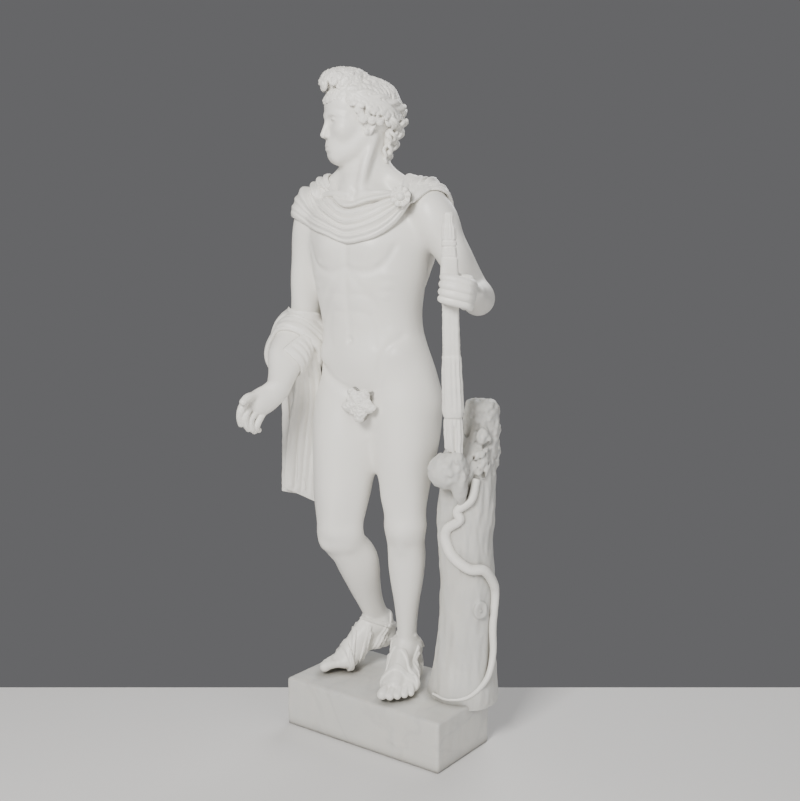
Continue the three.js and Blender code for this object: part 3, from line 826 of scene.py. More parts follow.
def add_torso(clay):
    upright = Axes(v(0, 0, 0), heading(CHEST_TURN))
    levels = []
    for up, x, y, *reach in TORSO:
        left, ahead, _ = upright.local(v(x, y, up))
        levels.append((up, left, ahead, *reach))
    clay.add(Loft(upright, levels, 2.25), 0)
    for forms, behind in ((FRONT_FORMS, False), (BACK_FORMS, True)):
        for left, up, *reach, amount in forms:
            at = on_trunk_skin(left, up, 0, behind)
            clay.swell(Axes(at, heading(CHEST_TURN)), reach, amount)


def trunk_lines(clay):
    """Creases between the muscles, down the spine and over each hip to the groin."""
    for lines, behind in ((FRONT_LINES, False), (BACK_LINES, True)):
        for places, width, depth in lines:
            line = [on_trunk_skin(left, up, 2, behind) for left, up in places]
            clay.groove(line, width, depth, 14)


def add_limbs(clay):
    j = JOINTS
    clay.add(limb(j["hip_l"], j["knee_l"], heading(18), THIGH_L, 2.15), 34)
    clay.add(limb(j["hip_r"], j["knee_r"], heading(-22), THIGH_R, 2.15), 34)
    clay.add(limb(j["knee_l"], j["ankle_l"], heading(22), SHIN), 34)
    clay.add(limb(j["knee_r"], j["ankle_r"], heading(-30), SHIN), 34)
    clay.add(limb(j["shoulder_l"], j["elbow_l"], heading(60), UPPER_ARM_L), 26)
    clay.add(limb(j["shoulder_r"], j["elbow_r"], heading(-20), UPPER_ARM_R), 26)
    clay.add(limb(j["elbow_l"], j["wrist_l"], UP, FOREARM), 16)
    clay.add(limb(j["elbow_r"], j["wrist_r"], heading(-90), FOREARM), 16)


# Forms of a leg, the same on both: share down the thigh or shin, left, ahead, reach, amount.
THIGH_FORMS = [
    (0.3, 0.0, 88, (44, 30, 90), 4),
    (0.78, -0.75, 44, (24, 28, 40), 8),
    (0.72, 0.8, 44, (26, 30, 60), 5),
    (0.4, -0.9, 0, (30, 50, 90), 4),
]
SHIN_FORMS = [
    (0.0, 0.0, 56, (27, 22, 26), 9),
    (0.13, 0.0, 50, (14, 20, 20), 5),
    (0.26, -0.55, -44, (26, 30, 70), 7),
    (0.24, 0.6, -44, (24, 30, 60), 5),
    (0.06, 0.0, -46, (20, 24, 34), -5),
]


def leg_forms(clay, start, end, front, forms, inner):
    axes = Axes(start, front, start - end)
    length = float(np.linalg.norm(end - start))
    for share, left, ahead, reach, amount in forms:
        at = axes(left * inner * -50, ahead, -share * length)
        clay.swell(Axes(at, axes.ahead, axes.up), reach, amount)


def add_leg_forms(clay):
    j = JOINTS
    leg_forms(clay, j["hip_l"], j["knee_l"], heading(18), THIGH_FORMS, -1)
    leg_forms(clay, j["hip_r"], j["knee_r"], heading(-22), THIGH_FORMS, 1)
    leg_forms(clay, j["knee_l"], j["ankle_l"], heading(22), SHIN_FORMS, -1)
    leg_forms(clay, j["knee_r"], j["ankle_r"], heading(-30), SHIN_FORMS, 1)
    for ankle, front in ((j["ankle_l"], heading(22)), (j["ankle_r"], heading(-30))):
        axes = Axes(ankle, front)
        for left, up in ((31, 4), (-31, 12)):
            clay.add(Ball(Axes(axes(left, -4, up), front), (11, 15, 16)), 14)


def add_arm_forms(clay):
    j = JOINTS
    for shoulder, elbow, front in (
        (j["shoulder_l"], j["elbow_l"], heading(20)),
        (j["shoulder_r"], j["elbow_r"], heading(-10)),
    ):
        axes = Axes(shoulder, front, shoulder - elbow)
        length = float(np.linalg.norm(elbow - shoulder))
        for share, left, ahead, reach, amount in (
            (0.12, 0, 46, (40, 34, 60), 5),
            (0.55, 0, 46, (26, 30, 56), 7),
            (0.4, 0, -46, (30, 30, 70), 6),
            (0.36, 40, 4, (18, 16, 40), -3),
        ):
            at = axes(left, ahead, -share * length)
            clay.swell(Axes(at, axes.ahead, axes.up), reach, amount)
        clay.add(Ball(Axes(axes(0, -34, -length), front), (14, 14, 18)), 16)


FOREARM_SIDE = [(-278, -95, 1107), (-264, -152, 1057), (-241, -185, 1010), (-228, -213, 974)]
NECK_SLOPES = [
    ((-36, -10, 1546), (14, 4, 1500), (96, 14, 1452)),
    ((-112, -30, 1540), (-156, -40, 1500), (-210, -48, 1444)),
]


def add_forearm(clay):
    """The fuller thumb side of the lowered forearm."""
    clay.add(Rope([v(*p) for p in FOREARM_SIDE], (30, 33, 28, 22)), 22)


def add_neck(clay):
    chest = torso_axes(1455)
    nape = [chest(0, -20, -30), v(-76, -24, 1496), HEAD(0, -18, -46)]
    clay.add(Rope(nape, (70, 60, 56)), 34)
    for places in NECK_SLOPES:
        clay.add(Rope([v(*p) for p in places], (24, 30, 36)), 30)
    for side in (1, -1):
        behind_ear = HEAD(side * 58, -20, -40)
        notch = chest(side * 12, 60, 22)
        middle = (behind_ear + notch) / 2 + HEAD.ahead * 6 + HEAD.left * side * 6
        clay.add(Rope([behind_ear, middle, notch], (12, 12, 8)), 16)
        collar_bone = [chest(side * 16, 66, 16), chest(side * 70, 62, 22), chest(side * 128, 24, 14)]
        clay.add(Rope(collar_bone, (8, 8, 9)), 16)
    clay.swell(Axes(chest(0, 74, 26), chest.ahead), (11, 20, 12), -6)


# The face, in the head's own axes: calm, on plain proportions

FACE_BALLS = [
    (0, -12, 36, 75, 91, 80, 0),
    (0, 30, -20, 56, 55, 68, 26),
    (0, 48, 50, 57, 42, 46, 24),
    (0, 60, -80, 22, 21, 17, 18),
    (40, 56, -16, 22, 21, 19, 18),
    (-40, 56, -16, 22, 21, 19, 18),
    (0, 68, -58, 25, 18, 18, 16),
]


def add_face(clay):
    put = HEAD
    for left, ahead, up, *reach, blend in FACE_BALLS:
        clay.add(Ball(Axes(put(left, ahead, up), HEAD.ahead), reach), max(blend, 30))
    for side in (1, -1):
        jaw = [put(side * 52, 4, -38), put(side * 41, 34, -68), put(side * 13, 62, -85)]
        clay.add(Rope(jaw, (16, 14, 12)), 20)
        brow = [put(side * 53, 56, 14), put(side * 34, 79, 21), put(side * 9, 87, 18)]
        clay.add(Rope(brow, (5.5, 6, 6.5)), 12)
        clay.cut(Ball(Axes(put(side * 31, 95, 2), HEAD.ahead), (18, 16, 12)), 9)
    nose = [put(0, 83, 22), put(0, 88, 2), put(0, 94, -18), put(0, 98, -30)]
    clay.add(Rope(nose, (7.5, 6.5, 7.5, 8.5)), 9)
    for side in (1, -1):
        clay.add(Ball(Axes(put(side * 9.5, 89, -33), HEAD.ahead), (6.5, 9, 7)), 5)
        clay.cut(Ball(Axes(put(side * 6, 95, -40), HEAD.ahead), (3, 5, 3)), 2)
        add_eye(clay, side)
        add_ear(clay, side)
    add_mouth(clay)


def add_eye(clay, side):
    put = lambda left, ahead, up: HEAD(side * left, ahead, up)
    clay.add(Ball(Axes(put(31, 66, 2), HEAD.ahead), (14.5, 14.5, 13.5)), 3)
    upper = [put(17, 77, 0), put(24, 82, 6.5), put(32, 83, 8.5), put(40, 79, 6), put(46, 71, 0)]
    clay.add(Rope(upper, (1.8, 3, 3.2, 3, 2), 10), 2.5)
    lower = [put(17, 76.5, -0.5), put(25, 80, -6), put(33, 80.5, -7.5), put(41, 76, -5)]
    clay.add(Rope([*lower, put(46, 71, -0.5)], (1.6, 2.2, 2.4, 2.2, 1.8), 10), 2.5)
    fold = [put(19, 82, 8), put(30, 86, 14), put(43, 79, 11)]
    clay.groove(fold, 2.2, 1.4)


def add_ear(clay, side):
    put = lambda left, ahead, up: HEAD(side * left, ahead, up)
    rim = [put(70, 6, -8), put(77, 4, 12), put(80, -8, 24), put(80, -20, 18), put(77, -20, -4)]
    clay.add(Rope([*rim, put(73, -6, -28)], (4, 4, 4.5, 4.5, 4, 5), 14), 3)
    clay.add(Ball(Axes(put(70, -4, 2), HEAD.ahead), (6, 14, 24)), 4)
    clay.add(Ball(Axes(put(75, 4, -26), HEAD.ahead), (5, 7, 8)), 4)


def add_mouth(clay):
    put = HEAD
    upper = [put(-22, 75, -59), put(-11, 84, -57), put(0, 87, -58), put(11, 84, -57), put(22, 75, -59)]
    clay.add(Rope(upper, (2.5, 4.6, 4.4, 4.6, 2.5), 12), 4)
    lower = [put(-19, 75, -62), put(-9, 83, -66), put(0, 85, -67), put(9, 83, -66), put(19, 75, -62)]
    clay.add(Rope(lower, (2.5, 5.4, 6.0, 5.4, 2.5), 12), 4)
    line = [put(-24, 76, -60), put(-11, 88, -61.5), put(0, 91, -62), put(11, 88, -61.5), put(24, 76, -60)]
    clay.groove(line, 1.8, 2.6, 12)
    clay.groove([put(0, 90, -44), put(0, 91, -52)], 3, 1.5)
    clay.swell(Axes(put(0, 84, -75), HEAD.ahead), (15, 12, 5), -3)


# Hands

GRIP = v(259, -107, 1237)


def finger(clay, places, radius, blend=3.5):
    radii = [radius * share for share in (1.12, 1.0, 1.05, 0.92, 0.86)][: len(places)]
    clay.add(Rope(places, radii, 12), blend)


def add_fist(clay):
    """The left hand round the bow, its knuckles to the right of the bow."""
    axes = Axes(GRIP, v(0.6, -0.8, 0), v(0.1, 0.075, 1))
    palm = Axes(axes(36, -14, -2), axes.ahead)
    clay.add(Ball(palm, (26, 27, 44)), 14)
    clay.add(Ball(Axes(axes(46, 2, 2), axes.ahead), (15, 22, 38)), 12)
    for i, (up, reach) in enumerate(((27, 30), (9.5, 32), (-8.5, 31), (-26, 27))):
        curl = [
            axes(50, 4 + i, up - 9),
            axes(38, reach - 6, up - 5),
            axes(8, reach, up - 1),
            axes(-17, reach - 9, up + 1),
            axes(-22, 2, up + 2),
        ]
        finger(clay, curl, (11.6, 11.8, 11.3, 10.2)[i], 2.5)
    finger(clay, [axes(42, -18, 18), axes(18, -30, 30), axes(-8, -28, 36), axes(-20, -14, 38)], 12, 5)


# The lowered hand: each finger's knuckle, two bends and tip.
OPEN_FINGERS = [
    ((-252, -293, 946), (-251, -317, 925), (-259, -317, 901), (-264, -308, 881)),
    ((-248, -284, 929), (-247, -308, 906), (-250, -304, 881), (-252, -293, 867)),
    ((-242, -271, 912), (-244, -293, 891), (-245, -288, 869), (-247, -277, 859)),
    ((-236, -256, 903), (-236, -275, 882), (-242, -273, 866), (-245, -263, 860)),
]
OPEN_THUMB = [(-235, -236, 960), (-239, -277, 955), (-238, -308, 952), (-237, -326, 943)]


def add_open_hand(clay):
    """The right hand, lowered and half closed with its thumb in front."""
    wrist = JOINTS["wrist_r"]
    knuckles = [v(*places[0]) for places in OPEN_FINGERS]
    way = (knuckles[1] + knuckles[2]) / 2 - wrist
    side = knuckles[0] - knuckles[3]
    palm = Axes(wrist + way * 0.5, side, -way)
    clay.add(Ball(palm, (20, 36, 50)), 18)
    clay.add(Ball(Axes(palm(0, 4, -24), palm.ahead, palm.up), (16, 34, 30)), 14)
    for i, places in enumerate(OPEN_FINGERS):
        knuckle = v(*places[0])
        root = wrist + (knuckle - wrist) * 0.5
        finger(clay, [root, *(v(*p) for p in places)], 10.6 - 0.6 * i, 2.5)
    finger(clay, [v(*p) for p in OPEN_THUMB], 11, 7)


# Feet: places lie on a path from the heel to the toe tips, along the sandal's sole

FOOT_L = [(-14, 100, 148), (26, 18, 148), (66, -62, 148), (102, -146, 148)]
FOOT_R = [(-98, 132, 200), (-134, 62, 174), (-172, -10, 150), (-226, -74, 147)]
FOOT_LENGTH = 270.0


class FootPath:
    """Places on a foot: out to its little toe's side, along from the heel, and up from the sole."""

    def __init__(self, places, outer):
        self.way = smooth_rows([v(*p) for p in places], 60)
        run = np.linalg.norm(np.diff(self.way, axis=0), axis=1)
        self.run = np.concatenate([[0], np.cumsum(run)])
        self.run *= FOOT_LENGTH / self.run[-1]
        self.outer = outer

    def axes(self, along):
        near = [np.interp(a, self.run, range(60)) for a in (along - 8, along + 8)]
        low, high = (self.at(i) for i in near)
        ahead = unit(high - low)
        left = unit(np.cross(UP, ahead))
        middle = self.at(np.interp(along, self.run, range(60)))
        return Axes(middle, ahead, np.cross(ahead, left))

    def at(self, index):
        return v(*(np.interp(index, range(60), self.way[:, i]) for i in range(3)))

    def __call__(self, out, along, up):
        return self.axes(along)(out * self.outer, 0, up)


# Toes: out from the middle line, where each starts and ends along the foot, thickness.
TOES = [(-30, 188, 256, 14), (-9, 194, 253, 10.5), (9, 190, 243, 10), (25, 184, 230, 9.5), (39, 176, 214, 9)]


def add_foot(clay, foot, ankle):
    clay.add(Ball(Axes(foot(0, 26, 28), foot.axes(26).ahead), (31, 34, 31)), 20)
    clay.add(Rope([foot(0, 20, 40), foot(0, 34, 66), ankle + UP * 10], (27, 30, 30)), 22)
    instep = [ankle, foot(-6, 78, 72), foot(-8, 124, 50), foot(-10, 168, 30), foot(-8, 196, 20)]
    clay.add(Rope(instep, (31, 32, 29, 26, 20)), 18)
    clay.add(Rope([foot(14, 30, 22), foot(22, 90, 22), foot(26, 150, 20)], (22, 22, 20)), 18)
    clay.add(Rope([foot(-14, 36, 24), foot(-12, 90, 34), foot(-26, 160, 20)], (20, 18, 20)), 18)
    clay.add(Ball(Axes(foot(-26, 176, 17), foot.axes(176).ahead), (22, 28, 17)), 14)
    clay.add(Ball(Axes(foot(24, 160, 15), foot.axes(160).ahead), (22, 30, 15)), 14)
    for i, (out, start, end, thick) in enumerate(TOES):
        middle = (start + end) / 2
        places = [
            foot(out * 0.85, start, 15),
            foot(out, middle, 17 - i),
            foot(out, end - thick - 2, thick * 0.9),
            foot(out, end - thick, thick * 0.8),
        ]
        clay.add(Rope(places, (thick * 0.8, thick * 0.82, thick, thick * 0.9), 10), 4)


def add_straps(clay, foot):
    """The sandal's straps: round the heel, over the instep crosswise and below the ankle."""
    for along, up, lean, turn, half in (
        (34, 40, 0.9, 0, 6),
        (70, 40, 0.75, 0.42, 5),
        (96, 34, 0.7, -0.42, 5),
        (118, 30, 0.55, 0.42, 5),
        (142, 26, 0.45, -0.42, 5),
        (172, 16, 0.1, 0.1, 7),
        (30, 82, -1.2, 0, 6),
    ):
        axes = foot.axes(along)
        way = axes.ahead * 1.0 + axes.up * lean + axes.left * turn
        clay.strap(Axes(foot(0, along, up), axes.left, way), half, 72, 4.0)
    tongue = [foot(-6, 84, 106), foot(-8, 120, 84), foot(-10, 160, 56), foot(-8, 188, 40)]
    clay.groove(tongue, 9, -4.5)


def figure_clay():
    clay = Clay()
    add_torso(clay)
    add_limbs(clay)
    add_leg_forms(clay)
    add_arm_forms(clay)
    add_forearm(clay)
    trunk_lines(clay)
    add_neck(clay)
    add_face(clay)
    add_fist(clay)
    add_open_hand(clay)
    feet = feet_paths()
    add_foot(clay, feet[0], JOINTS["ankle_l"])
    add_foot(clay, feet[1], JOINTS["ankle_r"])
    for foot in feet:
        add_straps(clay, foot)
    return clay


def feet_paths():
    return FootPath(FOOT_L, 1), FootPath(FOOT_R, -1)


# Where the figure's pieces meet, and the box of each

NECK_SEAM = Region((-260, -220, 1440), (100, 160, 1900), v(-76, -24, 1532), v(0, 0, 1))
HAND_L_SEAM = Region(
    (170, -200, 1130), (360, 60, 1330), JOINTS["wrist_l"], JOINTS["wrist_l"] - JOINTS["elbow_l"]
)
HAND_R_SEAM = Region(
    (-300, -420, 800), (-150, -150, 1040), JOINTS["wrist_r"], JOINTS["wrist_r"] - JOINTS["elbow_r"]
)
FOOT_L_SEAM = Region((-54, -190, 100), (170, 170, 300), v(14, 48, 258), v(0, 0, -1))
FOOT_R_SEAM = Region((-300, -140, 100), (-56, 190, 330), v(-117, 88, 290), v(0, 0, -1))
SEAMS = (NECK_SEAM, HAND_L_SEAM, HAND_R_SEAM, FOOT_L_SEAM, FOOT_R_SEAM)


# Hair


def on_scalp(turn, rise, out=0.0):
    """A place on the hair: turned from ahead towards the left, and risen towards the crown."""
    a, b = math.radians(turn), math.radians(rise)
    reach = v(78, 92, 82) + out
    way = v(math.sin(a) * math.cos(b), math.cos(a) * math.cos(b), math.sin(b))
    return HEAD(*(v(0, -16, 32) + reach * way))


def band_rise(turn):
    """How high the twisted band lies: high over the temples and low at the back."""
    return 20 + 17 * math.cos(math.radians(turn))


def curl(clay, at, out_way, size, thick, start, hand=1, turns=1.6, lift=0.5, blend=1.5):
    """A snail curl that winds inward and rises towards its middle."""
    axes = Axes(at, UP if abs(out_way[2]) < 0.8 else HEAD.ahead, out_way)
    places, radii = [], []
    for i in range(13):
        share = i / 12
        angle = start + hand * share * turns * 2 * math.pi
        reach = size * (1 - 0.86 * share)
        places.append(
            axes(reach * math.cos(angle), reach * math.sin(angle), size * lift * share)
        )
        radii.append(thick * (1 - 0.35 * share))
    clay.add(Rope(places, radii, 22), blend)


def lock(clay, places, radii, strands=2, spread=0.55, blend=1.2, twist=0.6):
    """A lock of hair of a few strands that run side by side and twist a little."""
    rows = smooth_rows([[*p, r] for p, r in zip(places, radii)], 15)
    way = np.gradient(rows[:, :3], axis=0)
    out = unit(rows[7, :3] - HEAD(0, -16, 20))
    for k in range(strands):
        line, thick = [], []
        for i, (row, ahead) in enumerate(zip(rows, way)):
            side = unit(np.cross(ahead, out))
            angle = 2 * math.pi * k / strands + twist * i / 2
            away = row[3] * spread
            line.append(row[:3] + side * away * math.cos(angle) + out * away * math.sin(angle))
            thick.append(row[3] * (0.62 if strands > 1 else 1))
        clay.add(Rope(line, thick, 16), blend)


def add_crown(clay, dice):
    """Wavy strands, combed from the forehead over the crown to the twisted band."""
    count = 38
    for k in range(count):
        turn = 30 + (300 * k) / (count - 1)
        wave, phase = dice.uniform(2.0, 3.2), dice.uniform(-0.6, 0.6) + 0.5 * k
        places, radii = [], []
        top = 80 if k % 2 else 66
        low = band_rise(turn) + 2
        for i in range(11):
            share = i / 10
            rise = top + (low - top) * share
            bend = wave * math.sin(phase + share * 11.0) / max(math.cos(math.radians(rise)), 0.3)
            out = 3.0 + 1.5 * math.sin(share * 11 + phase + 1.5)
            places.append(on_scalp(turn + bend, rise, out))
            radii.append(3.2 + 3.4 * math.sin(math.pi * (0.2 + 0.75 * share)))
        clay.add(Rope(places, radii, 20), 1.0)


def add_band(clay):
    """Two strands twisted round the head."""
    for phase in (0, math.pi):
        places = []
        for i in range(45):
            turn = 46 + i * (268 / 44)
            angle = phase + i * 0.75
            rise = band_rise(turn) + 4.0 * math.sin(angle)
            places.append(on_scalp(turn, rise, 8 + 4.5 * math.cos(angle)))
        clay.add(Rope(places, [7.2] * 45, 88), 1.2)


def wavy_lock(clay, dice, start, end, out, wave, thick, side, hook=True):
    """A lock that waves over the scalp from one (turn, rise) to another and ends in a hook."""
    phase, places, radii = dice.uniform(-0.5, 0.5), [], []
    for i in range(10):
        share = i / 9
        sway = wave * math.sin(phase + share * 9.5)
        turn = start[0] + (end[0] - start[0]) * share + sway
        rise = start[1] + (end[1] - start[1]) * share
        places.append(on_scalp(turn, rise, out[0] + (out[1] - out[0]) * share))
        radii.append(thick * (0.75 + 0.5 * math.sin(math.pi * share) - 0.25 * share))
    lock(clay, places, radii, 3, 0.6, 0.8, 0.25)
    if hook:
        away = unit(places[-1] - HEAD(0, -16, 0))
        curl(clay, places[-1], away, thick * 1.25, thick * 0.6, dice.uniform(0, 6.28), side)


def add_side_locks(clay, dice):
    """Locks that wave from the forehead and the band over the temples and ears."""
    for side in (1, -1):
        for k in range(8):
            start = (side * (26 + 9 * k), 58 - 3 * k)
            end = (side * (60 + 10 * k), 8 - 3.5 * k)
            wavy_lock(clay, dice, start, end, (4, 9), side * 3.5, 8.2, side)
        for k in range(7):
            start = (side * (54 + 12 * k), 34 - 5 * k)
            end = (side * (72 + 14 * k), -16 - 2 * k)
            wavy_lock(clay, dice, start, end, (3, 8), side * -3.5, 7.8, -side)
        for k in range(4):
            start = (side * (40 + 6 * k), 44 - 6 * k)
            end = (side * (48 + 7 * k), 16 - 9 * k)
            wavy_lock(clay, dice, start, end, (6, 8), side * 2.5, 6.0, side)


def on_brow(turn, up, out=0.0):
    """A place on the forehead's hair at a height above the head's middle."""
    shrink = math.sqrt(1 - ((up - 30) / 92) ** 2)
    a = math.radians(turn)
    return HEAD((72 * shrink + out) * math.sin(a), (105 * shrink + out) * math.cos(a) - 12, up)


def add_forehead_curls(clay, dice):
    for up, step, size, shift in ((58, 13, 10.5, 0), (74, 12, 12, 6), (91, 14, 12.5, 0)):
        for k in range(-6, 7):
            turn = step * k + shift + dice.uniform(-2, 2)
            if abs(turn) > 84:
                continue
            at = on_brow(turn, up - 0.0012 * turn * turn + dice.uniform(-2, 2), 2)
            out = unit(at - HEAD(0, 0, 40))
            hand = 1 if k % 2 else -1
            grow = dice.uniform(0.9, 1.1)
            curl(clay, at, out, size * grow, 4.8, dice.uniform(0, 6.28), hand, 1.7, 0.55, 0.8)


def add_top_knot(clay, dice):
    """The bow of big curls over the forehead."""
    middle, reach = v(0, 38, 102), v(46, 62, 33)
    clay.add(Ball(Axes(HEAD(*middle), HEAD.ahead), reach * 0.86), 5)
    count = 46
    for k in range(count):
        height = 1 - 1.25 * (k + 0.5) / count
        angle = k * 2.39996
        flat = math.sqrt(1 - height * height)
        way = v(flat * math.sin(angle), flat * math.cos(angle), height)
        at = HEAD(*(middle + reach * way))
        out = unit(HEAD(*(middle + reach * way * 1.2)) - HEAD(*(middle + v(0, 0, -14))))
        size = dice.uniform(12, 15)
        curl(clay, at, out, size, 5.6, dice.uniform(0, 6.28), 1 if k % 2 else -1, 1.6, 0.5, 0.8)


def add_nape(clay, dice):
    """Ringlets that hang down the nape."""
    for row, (count, start_rise, foot, out) in enumerate(((9, -4, -104, 0), (7, -14, -92, 8))):
        for k in range(count):
            share = (k + 0.5) / count * 2 - 1
            turn = 180 + 68 * share
            top = on_scalp(turn, start_rise, 4 + out)
            low = HEAD(-58 * share, -66 + 26 * share * share - out, foot + dice.uniform(-8, 8))
            line = [top, (top + low) / 2 + HEAD.ahead * -6, low]
            spine = smooth_rows(line, 22)
            phase, hand = dice.uniform(0, 6.28), 1 if k % 2 else -1
            places, radii = [], []
            for i, middle in enumerate(spine):
                angle = phase + hand * i * 0.95
                reach = 8.5 * (1 - 0.4 * i / 21)
                places.append(
                    middle
                    + HEAD.left * reach * math.cos(angle)
                    + HEAD.ahead * reach * math.sin(angle)
                )
                radii.append(6.0 - 2.2 * i / 21)
            clay.add(Rope(places, radii, 40), 1.2)


def hair_clay():
    look = bpy.context.scene.statue_look
    dice = random.Random(look.lock_seed)
    clay = Clay()
    clay.add(Ball(Axes(HEAD(0, -18, 31), HEAD.ahead), (80, 90, 82)), 0)
    clay.add(Ball(Axes(HEAD(0, -62, -40), HEAD.ahead), (46, 30, 54)), 14)
    add_crown(clay, dice)
    add_side_locks(clay, dice)
    add_nape(clay, dice)
    add_band(clay)
    add_forehead_curls(clay, dice)
    add_top_knot(clay, dice)
    return clay


# Folded cloth


def fold(place, middle, width, lean=0.35):
    """The height of one fold across the cloth: steep on one side and soft on the other."""
    x = (place - middle) / width
    soft = np.where(x > 0, x / (1 + lean), x / (1 - lean))
    return np.exp(-soft * soft * 1.6)


def blur(grid, rows, columns):
    """A grid of places, evened out over its neighbours."""
    for axis, reach in ((0, rows), (1, columns)):
        total = np.zeros_like(grid)
        for shift in range(-reach, reach + 1):
            index = np.clip(np.arange(grid.shape[axis]) + shift, 0, grid.shape[axis] - 1)
            total += np.take(grid, index, axis=axis)
        grid = total / (2 * reach + 1)
    return grid


def lay_on(sheet, form, least):
    """Lifts a sheet off a form, so that it lies at least this far outside it."""
    for even in (True, False):
        flat = sheet.reshape(-1, 3)
        around = (flat[:, None] + TETRA * 3.0).reshape(-1, 3)
        values = form.distance(around, 64, 60.0).reshape(-1, 4)
        slope = values @ TETRA
        slope /= np.linalg.norm(slope, axis=1, keepdims=True) + 1e-9
        lift = np.maximum(least - values.mean(axis=1), 0)
        lift = np.where(lift < 150, lift, 0)
        moved = (slope * lift[:, None]).reshape(sheet.shape)
        sheet = sheet + (blur(moved, 5, 4) * 1.15 if even else moved)
    return sheet


def drape(edges, folds, thick, bulge, outward, size=(260, 64), seed=1, form=None, least=7.0):
    """A folded sheet between two edges, as closed rings of places along its length.

    Each fold is [place across at the start, at the middle, at the end, width, height].
    """
    rows, columns = size
    first = smooth_rows([e[0] for e in edges], rows)
    second = smooth_rows([e[1] for e in edges], rows)
    middle = (first + second) / 2
    along = np.gradient(middle, axis=0)
    across = second - first
    normal = np.cross(along, across)
    normal /= np.linalg.norm(normal, axis=1, keepdims=True)
    normal *= outward
    share = np.linspace(0, 1, rows)[:, None]
    s = np.linspace(0, 1, columns)[None, :]
    height = np.zeros((rows, columns))
    dice = random.Random(seed)
    for start, halfway, end, width, amount in folds:
        phase, wave = dice.uniform(0, 6.28), dice.uniform(1.2, 2.2)
        line = start * (1 - share) * (1 - 2 * share) + halfway * 4 * share * (1 - share)
        line = line + end * share * (2 * share - 1)
        line = line + 0.018 * np.sin(phase + share * 9 * wave)
        strong = amount * (0.8 + 0.2 * np.sin(phase + share * 7 * wave))
        height += strong * fold(s, line, width, dice.uniform(-0.4, 0.5))
    soft = np.sin(math.pi * np.clip(s, 0.001, 0.999)) ** 0.4
    ends = smoothstep(np.minimum(share, 1 - share) / 0.05)
    rim = np.sqrt(np.clip(1 - (2 * s - 1) ** 6, 0, 1))
    half = thick / 2 * (0.55 + 0.45 * ends)
    face = first[:, None] + across[:, None] * s[..., None]
    face = face + normal[:, None] * (bulge * np.sin(math.pi * s) * np.ones_like(share))[..., None]
    if form:
        face = lay_on(face, form, least)
    out = face + normal[:, None] * (height * soft * ends + half * rim)[..., None]
    back = face + normal[:, None] * (0.35 * height * soft * ends - half * rim)[..., None]
    return np.concatenate([out, back[:, ::-1]], axis=1)


def roughen_rings(rings, ripples):
    """Small waves over a sheet, as fine carving marks and soft dents."""
    flat = rings.reshape(-1, 3)
    middle = rings.mean(axis=1, keepdims=True)
    way = rings - middle
    way /= np.linalg.norm(way, axis=2, keepdims=True) + 1e-9
    amount = sum(size * ripple(flat) for ripple, size in ripples).reshape(rings.shape[:2])
    return rings + way * amount[..., None]


def outward_turn(faces, places):
    """Faces turned so that they look out, judged by the volume that they close."""
    a, b, c = (places[faces[:, i]] for i in range(3))
    volume = np.einsum("ij,ij->i", a, np.cross(b, c)).sum()
    if faces.shape[1] == 4:
        d = places[faces[:, 3]]
        volume += np.einsum("ij,ij->i", a, np.cross(c, d)).sum()
    return faces if volume > 0 else faces[:, ::-1]


def ring_piece(name, rings, material):
    places = rings.reshape(-1, 3)
    faces = rings_to_faces(len(rings), rings.shape[1])
    return mesh_piece(name, places, outward_turn(faces, places), material)


MANTLE = [
    ((96, -52, 1466), (104, -62, 1450)),
    ((36, -66, 1462), (72, -82, 1400)),
    ((-14, -92, 1440), (28, -116, 1362)),
    ((-68, -108, 1432), (-42, -132, 1348)),
    ((-116, -92, 1456), (-112, -134, 1366)),
    ((-146, -66, 1492), (-196, -108, 1390)),
    ((-158, -20, 1510), (-254, -86, 1414)),
    ((-152, 24, 1510), (-284, -26, 1412)),
    ((-120, 58, 1504), (-272, 46, 1402)),
    ((-66, 72, 1500), (-180, 108, 1380)),
    ((-10, 56, 1496), (-20, 116, 1370)),
    ((30, 22, 1494), (116, 92, 1400)),
    ((50, -20, 1488), (150, 40, 1462)),
    ((70, -46, 1478), (128, -20, 1478)),
]
BACK_CLOTH = [
    ((112, 60, 1470), (-268, 40, 1462)),
    ((100, 104, 1392), (-288, 62, 1392)),
    ((56, 112, 1300), (-300, 74, 1300)),
    ((14, 110, 1200), (-304, 66, 1200)),
    ((-40, 108, 1100), (-304, 44, 1120)),
    ((-104, 100, 1010), (-296, 14, 1060)),
    ((-158, 78, 940), (-284, -14, 1010)),
]
HANGING_CLOTH = [
    ((-196, 6, 1080), (-318, -96, 1104)),
    ((-206, 10, 1000), (-324, -94, 1010)),
    ((-214, 8, 880), (-318, -92, 890)),
    ((-218, 8, 760), (-322, -90, 764)),
    ((-216, 12, 630), (-326, -90, 654)),
]
WRAP = [
    (-166, 36, 960),
    (-178, -14, 1040),
    (-208, -62, 1106),
    (-262, -94, 1140),
    (-316, -108, 1120),
    (-340, -112, 1066),
    (-328, -98, 1004),
]
BROOCH = v(85, -76, 1462)
WRAP_REACH = [36, 44, 48, 48, 48, 44, 34]
FALL = [
    ((-232, -178, 1069), (-219, -75, 1114)),
    ((-218, -162, 1039), (-206, -66, 1059)),
    ((-224, -141, 999), (-203, -58, 998)),
    ((-247, -121, 946), (-206, -47, 933)),
    ((-273, -109, 878), (-213, -40, 861)),
    ((-291, -104, 805), (-225, -36, 774)),
    ((-303, -101, 718), (-238, -40, 687)),
    ((-304, -101, 666), (-243, -43, 626)),
]
SHOULDER_CLOTH = [
    ((76, -66, 1472), (110, -62, 1450)),
    ((54, -30, 1508), (130, -28, 1478)),
    ((42, 18, 1520), (138, 22, 1484)),
    ((46, 66, 1494), (134, 68, 1462)),
    ((50, 100, 1440), (128, 100, 1400)),
]
